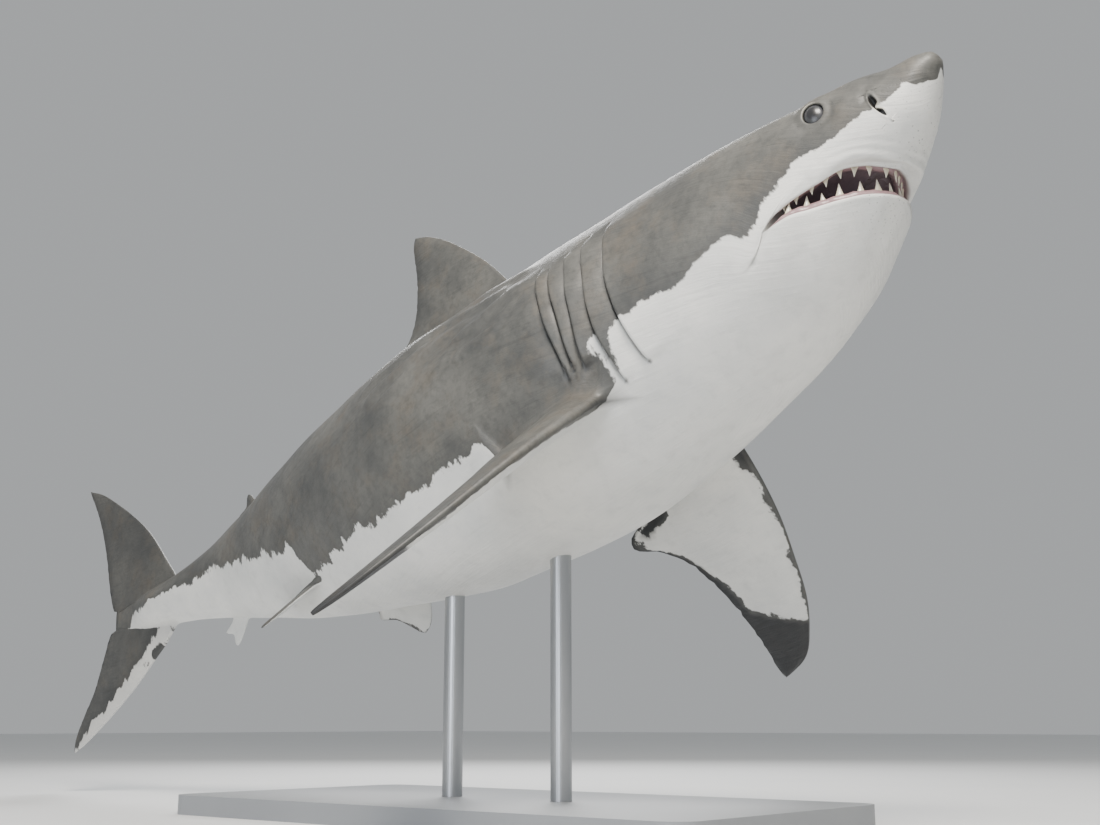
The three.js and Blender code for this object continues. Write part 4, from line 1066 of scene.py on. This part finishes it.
# ---- Eyes ----
def build_eye(name, side, material):
    """A flattened ball: two angles sweep an ellipsoid whose short axis points out of the socket."""
    shell = Shell()
    out = unit(np.array([-EYE_SLOPE, side, 0.0]))
    along = unit(np.array([1.0, side * EYE_SLOPE, 0.0]))
    up = np.array([0.0, 0.0, 1.0])
    centre = EYE_AT * np.array([1, side, 1]) - out * EYEBALL_BACK
    half_along, half_up, half_out = EYEBALL_HALF
    tilt = np.linspace(0, math.pi, 33)[1:-1, None]
    way = np.linspace(0, 2 * math.pi, 65)[:-1] * side
    flat = np.sin(tilt)
    ring = (
        centre + along * (half_along * flat * np.cos(way))[..., None]
        + up * (half_up * flat * np.sin(way))[..., None]
        + out * (half_out * np.cos(tilt) * np.ones_like(way))[..., None]
    )
    numbers = shell.add(place(ring), round=flat * np.ones_like(way))
    front = shell.add(place((centre + out * half_out)[None]))[0]
    back = shell.add(place((centre - out * half_out)[None]), round=1.0)[0]
    many = len(way)
    shell.strips(np.concatenate([np.full((1, many), front), numbers, np.full((1, many), back)]), True)
    return shell.finish(name, material, ("round",))


# ---- Gums and teeth ----
def lip_path(lip, u):
    """A lip from the right corner (u = 1) through the middle (0) to the left corner (-1)."""
    p = chain(lip, 1 - np.abs(u))
    return p * np.stack([np.ones_like(u), np.where(u < 0, -1.0, 1.0), np.ones_like(u)], -1)


def gum_centre(lip, u, inward, lift):
    """The middle of a gum: inward from the lip and up from it, less so towards the corners."""
    p = lip_path(lip, u)
    small = smooth((1 - np.abs(u)) / 0.3)
    return p + lip_inward(p)[0] * (inward * small)[:, None] + np.array([0, 0, 1.0]) * (lift * small)[:, None]


def build_gum(name, lip, inward, lift, wide, tall, material):
    """A ridge of flesh: ovals carried along a line inside the lip, narrowing to points at its ends."""
    shell = Shell()
    u = np.sin(np.linspace(-1, 1, 121) * math.pi / 2) * 0.93
    path = gum_centre(lip, u, inward, lift)
    size = smooth((0.95 - np.abs(u)) / 0.3) ** 0.5 * (1 + 0.06 * np.sin(u * 47) + 0.04 * np.sin(u * 83 + 1))
    way = np.linspace(0, 2 * math.pi, 21)[:-1]
    across = lip_inward(path)[0]
    ring = (
        path[:, None] + across[:, None] * (np.outer(size, np.cos(way)) * wide)[..., None]
        + np.array([0, 0, 1.0]) * (np.outer(size, np.sin(way)) * tall)[..., None]
    )
    numbers = shell.add(place(ring))
    ends = shell.add(place(path[[0, -1]]))
    many = len(way)
    shell.strips(np.concatenate([np.full((1, many), ends[0]), numbers, np.full((1, many), ends[1])]), True)
    return shell.finish(name, material, ())


def build_teeth(name, lip, inward, lift, upright, count, tall, wide, thick, material, seed):
    """Pointed teeth along a gum: each is ovals that shrink to a tip, broad at the root, leaning inward as the
    square of the height. The lower ones slope forward and the upper ones back."""
    rng = np.random.default_rng(seed)
    u = (np.arange(count) + 0.5) / count * 1.7 - 0.85
    u = u + rng.uniform(-0.012, 0.012, count)
    at = gum_centre(lip, u, inward, lift)
    before, after = gum_centre(lip, u - 0.01, inward, lift), gum_centre(lip, u + 0.01, inward, lift)
    along = unit((after - before) * np.array([1, 1, 0]))
    across = lip_inward(at)[0]
    size = (1 - 0.45 * np.abs(u) ** 1.5) * rng.uniform(0.78, 1.12, count)
    lean = rng.uniform(-0.14, 0.14, count)
    h = np.concatenate([[-0.3, -0.1], np.linspace(0.04, 0.97, 11)])
    taper = steady([-0.3, 0, 0.08, 0.2, 0.5, 0.8, 1], [0.95, 1, 0.92, 0.76, 0.44, 0.19, 0.03], h)
    way = np.linspace(0, 2 * math.pi, 13)[:-1]
    shell = Shell()
    height = size[:, None] * tall * h
    ring = (
        at[:, None, None]
        + along[:, None, None] * ((size[:, None] * wide / 2 * taper)[..., None] * np.cos(way)
                                  + (lean[:, None] * height)[..., None])[..., None]
        + across[:, None, None] * ((size[:, None] * thick / 2 * taper**0.7)[..., None] * np.sin(way)
                                   + (size[:, None] * tall * TOOTH_CURVE
                                      * np.clip(h, 0, 1) ** 2)[..., None])[..., None]
        + np.array([-TOOTH_SLOPE * upright, 0, upright]) * (height[..., None] * np.ones_like(way))[..., None]
    )
    numbers = shell.add(place(ring), round=np.broadcast_to(h[None, :, None], ring.shape[:-1]))
    tip = at + along * (lean * size * tall)[:, None] + across * (size * tall * TOOTH_CURVE)[:, None]
    tip = tip + np.array([-TOOTH_SLOPE * upright, 0, upright]) * (size * tall)[:, None]
    root = ring[:, 0].mean(1)
    tips = shell.add(place(tip), round=1.0)
    roots = shell.add(place(root))
    closed = np.concatenate([
        np.repeat(roots[:, None, None], len(way), axis=2), numbers,
        np.repeat(tips[:, None, None], len(way), axis=2),
    ], axis=1)
    a, b = closed[:, :-1], closed[:, 1:]
    corners = (a, b, np.roll(b, -1, axis=2), np.roll(a, -1, axis=2))
    shell.face(*(corners if upright > 0 else corners[::-1]))
    return shell.finish(name, material, ("round",))


# ---- Materials ----
def hex_colour(code):
    """An sRGB hex colour turned to linear."""
    srgb = np.array([int(code[i : i + 2], 16) for i in (1, 3, 5)]) / 255
    linear = np.where(srgb <= 0.04045, srgb / 12.92, ((srgb + 0.055) / 1.055) ** 2.4)
    return (*linear.tolist(), 1.0)


def node(tree, kind, sockets=None, **settings):
    """Adds a node with its settings; each socket is given a value, or the node or output that feeds it."""
    made = tree.nodes.new(kind)
    for key, value in settings.items():
        setattr(made, key, value)
    for key, value in (sockets or {}).items():
        if isinstance(value, bpy.types.Node):
            value = next(output for output in value.outputs if output.enabled)
        if isinstance(value, bpy.types.NodeSocket):
            tree.links.new(value, made.inputs[key])
        else:
            made.inputs[key].default_value = value
    return made


def new_material(name):
    """A node material with no nodes yet, and its tree."""
    material = bpy.data.materials.new(name)
    material.use_nodes = True
    material.node_tree.nodes.clear()
    return material, material.node_tree


def painted_skin():
    """Painted sharkskin cast: satin and faintly wet, slate grey above and white below, with a torn line
    between them, brown blotches, scratches along the body, pores on the snout and a fine sandpaper grain."""
    material, tree = new_material("painted_sharkskin_cast")
    at = node(tree, "ShaderNodeTexCoord").outputs["Object"]
    fields = {}
    for name in FIELDS[:-1]:
        fields[name] = node(tree, "ShaderNodeAttribute", attribute_name=name).outputs["Fac"]
    side = node(tree, "ShaderNodeSeparateXYZ", {0: at}).outputs["X"]
    flow = node(tree, "ShaderNodeCombineXYZ", {0: fields["along"], 1: fields["around"], 2: side})

    # The line between back and belly: torn into teeth that hang down the flank, nearly plain on the head.
    hung = node(tree, "ShaderNodeMapping", {"Vector": flow, "Scale": (17.0, 8.0, 5.0)})
    teeth = node(tree, "ShaderNodeTexNoise", {"Vector": hung, "Scale": 1.0, "Detail": 5.0, "Roughness": 0.6})
    fringed = node(tree, "ShaderNodeMapping", {"Vector": flow, "Scale": (75.0, 45.0, 20.0)})
    fringe = node(tree, "ShaderNodeTexNoise", {"Vector": fringed, "Scale": 1.0, "Detail": 4.0,
                                               "Roughness": 0.65})
    tear = node(tree, "ShaderNodeMapRange", {"Value": fields["along"], "From Min": 0.9, "From Max": 1.7,
                                             "To Min": 0.02, "To Max": 0.14})
    teeth = node(tree, "ShaderNodeMath", {0: teeth, 1: 0.5}, operation="SUBTRACT")
    teeth = node(tree, "ShaderNodeMath", {0: teeth, 1: tear}, operation="MULTIPLY")
    fringe = node(tree, "ShaderNodeMath", {0: fringe, 1: 0.5}, operation="SUBTRACT")
    fringe = node(tree, "ShaderNodeMath", {0: fringe, 1: 0.028, 2: teeth}, operation="MULTIPLY_ADD")
    edge = node(tree, "ShaderNodeMath", {0: fields["shade"], 1: fringe}, operation="ADD")
    dark = node(tree, "ShaderNodeMapRange", {"Value": edge, "From Min": -0.0025, "From Max": 0.0035})

    # The back: cloudy slate with brown blotches, darker specks and a darker band along the line.
    cloud = node(tree, "ShaderNodeTexNoise", {"Vector": at, "Scale": 3.4, "Detail": 6.0, "Roughness": 0.62})
    cloud = node(tree, "ShaderNodeMapRange", {"Value": cloud, "From Min": 0.33, "From Max": 0.68})
    back = node(tree, "ShaderNodeMix", {0: cloud, 6: hex_colour("#454645"), 7: hex_colour("#676661")},
                data_type="RGBA")
    brown = node(tree, "ShaderNodeTexNoise", {"Vector": at, "Scale": 7.5, "Detail": 5.0, "Roughness": 0.7})
    brown = node(tree, "ShaderNodeMapRange", {"Value": brown, "From Min": 0.5, "From Max": 0.75,
                                              "To Max": 0.7})
    back = node(tree, "ShaderNodeMix", {0: brown, 6: back, 7: hex_colour("#645c51")}, data_type="RGBA")
    speck = node(tree, "ShaderNodeTexNoise", {"Vector": at, "Scale": 42.0, "Detail": 5.0, "Roughness": 0.7})
    speck = node(tree, "ShaderNodeMapRange", {"Value": speck, "From Min": 0.45, "From Max": 0.75,
                                              "To Max": 0.55})
    back = node(tree, "ShaderNodeMix", {0: speck, 6: back, 7: hex_colour("#383938")}, data_type="RGBA")
    rim = node(tree, "ShaderNodeMapRange", {"Value": edge, "From Min": 0.0, "From Max": 0.06, "To Min": 0.45,
                                            "To Max": 0.0})
    back = node(tree, "ShaderNodeMix", {0: rim, 6: back, 7: hex_colour("#373837")}, data_type="RGBA")

    # The belly: white, faintly clouded with grey.
    belly = node(tree, "ShaderNodeMix", {0: cloud, 6: hex_colour("#e4e3de"), 7: hex_colour("#cfd0cd")},
                 data_type="RGBA")
    stain = node(tree, "ShaderNodeTexNoise", {"Vector": at, "Scale": 19.0, "Detail": 4.0, "Roughness": 0.6})
    stain = node(tree, "ShaderNodeMapRange", {"Value": stain, "From Min": 0.52, "From Max": 0.78,
                                              "To Max": 0.35})
    belly = node(tree, "ShaderNodeMix", {0: stain, 6: belly, 7: hex_colour("#b3b4b1")}, data_type="RGBA")
    colour = node(tree, "ShaderNodeMix", {0: dark, 6: belly, 7: back}, data_type="RGBA")
    ink_and_painted_shade = node(tree, "ShaderNodeMath", {0: fields["ink"], 1: 0.9}, operation="MULTIPLY")
    colour = node(tree, "ShaderNodeMix", {0: ink_and_painted_shade, 6: colour, 7: hex_colour("#1d1e20")}, data_type="RGBA")

    # Fine dark scratches that run along the body.
    drawn = node(tree, "ShaderNodeMapping", {"Vector": flow, "Scale": (4.5, 85.0, 9.0)})
    streak = node(tree, "ShaderNodeTexNoise", {"Vector": drawn, "Scale": 1.0, "Detail": 3.0, "Roughness": 0.5,
                                               "Distortion": 0.25})
    patch = node(tree, "ShaderNodeTexNoise", {"Vector": at, "Scale": 4.5, "Detail": 2.0})
    patch = node(tree, "ShaderNodeMapRange", {"Value": patch, "From Min": 0.45, "From Max": 0.62})
    dark_streak = node(tree, "ShaderNodeMapRange", {"Value": streak, "From Min": 0.4, "From Max": 0.3,
                                                    "To Max": 0.22})
    dark_streak = node(tree, "ShaderNodeMath", {0: dark_streak, 1: dark}, operation="MULTIPLY")
    colour = node(tree, "ShaderNodeMix", {0: dark_streak, 6: colour, 7: hex_colour("#2e2f2f")},
                  data_type="RGBA")

    # Pores of the snout, in patches, and the marks set piece by piece.
    pores = node(tree, "ShaderNodeTexVoronoi", {"Vector": at, "Scale": 85.0, "Randomness": 0.9})
    pore = node(tree, "ShaderNodeMapRange", {"Value": pores, "From Min": 0.22, "From Max": 0.1})
    pore = node(tree, "ShaderNodeMath", {0: pore, 1: fields["snout"]}, operation="MULTIPLY")
    pore = node(tree, "ShaderNodeMath", {0: pore, 1: patch}, operation="MULTIPLY")
    ink_and_painted_shade = node(tree, "ShaderNodeMath", {0: pore, 1: 0.55}, operation="MULTIPLY")
    colour = node(tree, "ShaderNodeMix", {0: ink_and_painted_shade, 6: colour, 7: hex_colour("#34342f")}, data_type="RGBA")
    # The pale field: the nostril's pale skin and a painted highlight over each eye's rim.
    colour = node(tree, "ShaderNodeMix", {0: fields["pale"], 6: colour, 7: hex_colour("#cdc8ba")},
                  data_type="RGBA")
    # The slit field: painted shade in gill slits, head creases, eye sockets and nostrils.
    ink_and_painted_shade = node(tree, "ShaderNodeMath", {0: fields["slit"], 1: 0.85}, operation="MULTIPLY")
    colour = node(tree, "ShaderNodeMix", {0: ink_and_painted_shade, 6: colour, 7: hex_colour("#1d1c1d")}, data_type="RGBA")
    gum = node(tree, "ShaderNodeMix", {0: fringe, 6: hex_colour("#8d7779"), 7: hex_colour("#786469")},
               data_type="RGBA")
    gum = node(tree, "ShaderNodeMix", {0: fields["deep"], 6: gum, 7: hex_colour("#85747b")}, data_type="RGBA")
    colour = node(tree, "ShaderNodeMix", {0: fields["flesh"], 6: colour, 7: gum}, data_type="RGBA")

    # Sheen: satin, wetter in the mouth.
    rough = node(tree, "ShaderNodeTexNoise", {"Vector": at, "Scale": 30.0, "Detail": 3.0})
    rough = node(tree, "ShaderNodeMapRange", {"Value": rough, "From Min": 0.3, "From Max": 0.7,
                                              "To Min": 0.42, "To Max": 0.56})
    rough = node(tree, "ShaderNodeMath", {0: fields["flesh"], 1: -0.16, 2: rough}, operation="MULTIPLY_ADD")

    # Relief: grain, small wrinkles that run along the body, the streaks and the pores. The real grain is
    # under half a millimetre, and is drawn about 2 mm wide so that it shows.
    grain = node(tree, "ShaderNodeTexNoise", {"Vector": at, "Scale": 420.0, "Detail": 2.0})
    drawn = node(tree, "ShaderNodeMapping", {"Vector": flow, "Scale": (9.0, 42.0, 12.0)})
    wrinkle = node(tree, "ShaderNodeTexNoise", {"Vector": drawn, "Scale": 1.0, "Detail": 5.0,
                                                "Roughness": 0.62})
    height = node(tree, "ShaderNodeMath", {0: grain, 1: 0.22, 2: wrinkle}, operation="MULTIPLY_ADD")
    height = node(tree, "ShaderNodeMath", {0: streak, 1: 0.5, 2: height}, operation="MULTIPLY_ADD")
    height = node(tree, "ShaderNodeMath", {0: pore, 1: -0.5, 2: height}, operation="MULTIPLY_ADD")
    bump = node(tree, "ShaderNodeBump", {"Height": height, "Strength": 0.4, "Distance": 0.005})
    shader = node(tree, "ShaderNodeBsdfPrincipled", {
        "Base Color": colour, "Roughness": rough, "IOR": 1.45, "Coat Weight": 0.12, "Coat Roughness": 0.3,
        "Normal": bump})
    node(tree, "ShaderNodeOutputMaterial", {"Surface": shader})
    return material


def glass_eye():
    """A glass model eye: a near-black pupil that hardly parts from the dark grey iris, with a thin black rim,
    painted shade where the ball meets its socket, softly shining."""
    material, tree = new_material("blown_glass_eye")
    rim = node(tree, "ShaderNodeAttribute", attribute_name="round").outputs["Fac"]
    ramp = node(tree, "ShaderNodeValToRGB", {"Fac": rim})
    # The last, darkest stop, at the ball's rim, is painted shade where the ball meets its socket.
    stops = [(0.0, "#262628"), (0.5, "#2a2a2c"), (0.62, "#404144"), (0.93, "#4b4c4f"), (0.985, "#1a1a1b")]
    ramp.color_ramp.elements[0].color = hex_colour(stops[0][1])
    ramp.color_ramp.elements[1].position = stops[-1][0]
    ramp.color_ramp.elements[1].color = hex_colour(stops[-1][1])
    for position, code in stops[1:-1]:
        ramp.color_ramp.elements.new(position).color = hex_colour(code)
    at = node(tree, "ShaderNodeTexCoord").outputs["Object"]
    noise = node(tree, "ShaderNodeTexNoise", {"Vector": at, "Scale": 180.0, "Detail": 3.0})
    mixed = node(tree, "ShaderNodeMix", {0: 0.25, 6: ramp, 7: noise.outputs["Color"]}, data_type="RGBA",
                 blend_type="MULTIPLY")
    shader = node(tree, "ShaderNodeBsdfPrincipled", {
        "Base Color": mixed, "Roughness": 0.3, "IOR": 1.45, "Coat Weight": 0.4, "Coat Roughness": 0.22})
    node(tree, "ShaderNodeOutputMaterial", {"Surface": shader})
    return material


def enamel_tooth():
    """Cast resin teeth painted as enamel: ivory, a little yellower at the root, glossy."""
    material, tree = new_material("enamel_resin_teeth")
    up_tooth = node(tree, "ShaderNodeAttribute", attribute_name="round").outputs["Fac"]
    at = node(tree, "ShaderNodeTexCoord").outputs["Object"]
    noise = node(tree, "ShaderNodeTexNoise", {"Vector": at, "Scale": 140.0, "Detail": 3.0})
    base = node(tree, "ShaderNodeMix", {0: up_tooth, 6: hex_colour("#c4b99f"), 7: hex_colour("#e2ddd0")},
                data_type="RGBA")
    tint = node(tree, "ShaderNodeMix", {0: noise, 6: base, 7: hex_colour("#e0d8c2")}, data_type="RGBA")
    shader = node(tree, "ShaderNodeBsdfPrincipled", {"Base Color": tint, "Roughness": 0.22, "IOR": 1.6})
    node(tree, "ShaderNodeOutputMaterial", {"Surface": shader})
    return material


def gum_flesh():
    """Painted silicone gums: wet pink flesh with mottled darker patches."""
    material, tree = new_material("silicone_gum_flesh")
    at = node(tree, "ShaderNodeTexCoord").outputs["Object"]
    noise = node(tree, "ShaderNodeTexNoise", {"Vector": at, "Scale": 60.0, "Detail": 4.0})
    base = node(tree, "ShaderNodeMix", {0: noise, 6: hex_colour("#a38889"), 7: hex_colour("#7e6469")},
                data_type="RGBA")
    bump = node(tree, "ShaderNodeBump", {"Height": noise, "Strength": 0.4, "Distance": 0.003})
    shader = node(tree, "ShaderNodeBsdfPrincipled", {
        "Base Color": base, "Roughness": 0.28, "IOR": 1.42, "Normal": bump})
    node(tree, "ShaderNodeOutputMaterial", {"Surface": shader})
    return material


def lacquered_board():
    """Lacquered board base: satin grey paint with a faint roller stipple, about 3 mm wide."""
    material, tree = new_material("lacquered_board")
    at = node(tree, "ShaderNodeTexCoord").outputs["Object"]
    noise = node(tree, "ShaderNodeTexNoise", {"Vector": at, "Scale": 350.0, "Detail": 2.0})
    cloud = node(tree, "ShaderNodeTexNoise", {"Vector": at, "Scale": 2.5, "Detail": 3.0})
    base = node(tree, "ShaderNodeMix", {0: cloud, 6: hex_colour("#83868a"), 7: hex_colour("#8f9295")},
                data_type="RGBA")
    bump = node(tree, "ShaderNodeBump", {"Height": noise, "Strength": 0.15, "Distance": 0.001})
    shader = node(tree, "ShaderNodeBsdfPrincipled", {"Base Color": base, "Roughness": 0.42, "Normal": bump})
    node(tree, "ShaderNodeOutputMaterial", {"Surface": shader})
    return material


def brushed_steel():
    """Brushed steel rods: fine rings of scratches round the rod, drawn 2 mm apart so that they show."""
    material, tree = new_material("brushed_steel")
    at = node(tree, "ShaderNodeTexCoord").outputs["Object"]
    stretched = node(tree, "ShaderNodeMapping", {"Vector": at, "Scale": (6.0, 6.0, 500.0)})
    noise = node(tree, "ShaderNodeTexNoise", {"Vector": stretched, "Scale": 1.0, "Detail": 3.0})
    rough = node(tree, "ShaderNodeMapRange", {"Value": noise, "To Min": 0.26, "To Max": 0.42})
    bump = node(tree, "ShaderNodeBump", {"Height": noise, "Strength": 0.1, "Distance": 0.0005})
    shader = node(tree, "ShaderNodeBsdfPrincipled", {
        "Base Color": hex_colour("#b6b8ba"), "Metallic": 1.0, "Roughness": rough, "Normal": bump})
    node(tree, "ShaderNodeOutputMaterial", {"Surface": shader})
    return material


def studio_floor():
    """Plain pale studio floor with the faintest mottling."""
    material, tree = new_material("plain_floor")
    at = node(tree, "ShaderNodeTexCoord").outputs["Object"]
    noise = node(tree, "ShaderNodeTexNoise", {"Vector": at, "Scale": 1.5, "Detail": 3.0})
    base = node(tree, "ShaderNodeMix", {0: noise, 6: hex_colour("#dcdddd"), 7: hex_colour("#e2e3e3")},
                data_type="RGBA")
    shader = node(tree, "ShaderNodeBsdfPrincipled", {"Base Color": base, "Roughness": 0.7})
    node(tree, "ShaderNodeOutputMaterial", {"Surface": shader})
    return material


# ---- Putting it together ----
skin = build_skin(painted_skin())
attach(skin, "root")
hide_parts("head", "lower_jaw", "gill_region", "trunk", "tail_stem", *FINS)

eye_glass = glass_eye()
for name, side in (("right", 1), ("left", -1)):
    eyeball = build_eye("eyeball_" + name, side, eye_glass)
    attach(eyeball, "root")
    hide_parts("eye_" + name)

flesh_look, tooth_look = gum_flesh(), enamel_tooth()
# Each gum: how far inward from its lip and how far up.
LOWER_GUM = (0.0036, 0.0022)
UPPER_GUM = (0.0062, 0.0052)
gum_lower = build_gum("gum_lower", LOWER_LIP, *LOWER_GUM, 0.0028, 0.0034, flesh_look)
gum_upper = build_gum("gum_upper", UPPER_LIP, *UPPER_GUM, 0.0032, 0.0030, flesh_look)
teeth_lower = build_teeth("teeth_lower", LOWER_LIP, LOWER_GUM[0], LOWER_GUM[1] + 0.0027, 1, 13,
                          0.0086, 0.0062, 0.0030, tooth_look, 5)
teeth_upper = build_teeth("teeth_upper", UPPER_LIP, UPPER_GUM[0] - 0.0012, UPPER_GUM[1] - 0.0022, -1, 16,
                          0.0064, 0.0062, 0.0020, tooth_look, 8)
for pieces, slot_name in (((gum_lower, gum_upper), "mouth"), ((teeth_lower, teeth_upper), "tooth")):
    for piece in pieces:
        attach(piece, "root")

board, steel = lacquered_board(), brushed_steel()
for name, look in (("stand_base", board), ("stand_rod_front", steel), ("stand_rod_rear", steel)):
    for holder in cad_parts[name].material_slots:
        holder.material = look

# ---- Floor, light and camera ----
floor_mesh = bpy.data.meshes.new("floor")
floor_mesh.from_pydata([(-30, -30, 0), (30, -30, 0), (30, 30, 0), (-30, 30, 0)], [], [(0, 1, 2, 3)])
floor_mesh.materials.append(studio_floor())
floor = bpy.data.objects.new("floor", floor_mesh)
bpy.context.scene.collection.objects.link(floor)

world = bpy.data.worlds.new("studio")
bpy.context.scene.world = world
world.use_nodes = True
world.node_tree.nodes["Background"].inputs["Color"].default_value = hex_colour("#e3e6e8")
world.node_tree.nodes["Background"].inputs["Strength"].default_value = 0.55


def soft_light(name, at, aim, size, power, code):
    """A square soft light at a point, turned to face another."""
    data = bpy.data.lights.new(name, "AREA")
    data.shape, data.size, data.energy = "SQUARE", size, power
    data.color = hex_colour(code)[:3]
    lamp = bpy.data.objects.new(name, data)
    back = np.array(at, float) - np.array(aim, float)
    heading = math.atan2(back[1], back[0]) + math.pi / 2
    tip = math.acos(back[2] / np.linalg.norm(back))
    lamp.location, lamp.rotation_euler = at, (tip, 0, heading)
    bpy.context.scene.collection.objects.link(lamp)


soft_light("key", (-2.6, -2.6, 5.4), (0, -0.2, 1.2), 2.0, 560, "#fff8ee")
soft_light("fill", (-5.0, -1.0, 1.6), (0, 0, 1.2), 3.0, 110, "#eef4ff")
soft_light("back", (3.5, 3.0, 4.0), (0, 0, 1.2), 3.0, 300, "#ffffff")

# The camera's place, its tip up from straight down and its heading, in degrees, and its lens.
CAMERA_AT, CAMERA_TIP, CAMERA_HEADING = (-3.263, -2.916, 0.287), 102.5, -50
LENS_MM = 45.68
lens = bpy.data.cameras.new("camera")
lens.sensor_width, lens.lens = 36, LENS_MM
camera = bpy.data.objects.new("camera", lens)
camera.location = CAMERA_AT
camera.rotation_euler = (math.radians(CAMERA_TIP), 0, math.radians(CAMERA_HEADING))
bpy.context.scene.collection.objects.link(camera)
bpy.context.scene.camera = camera
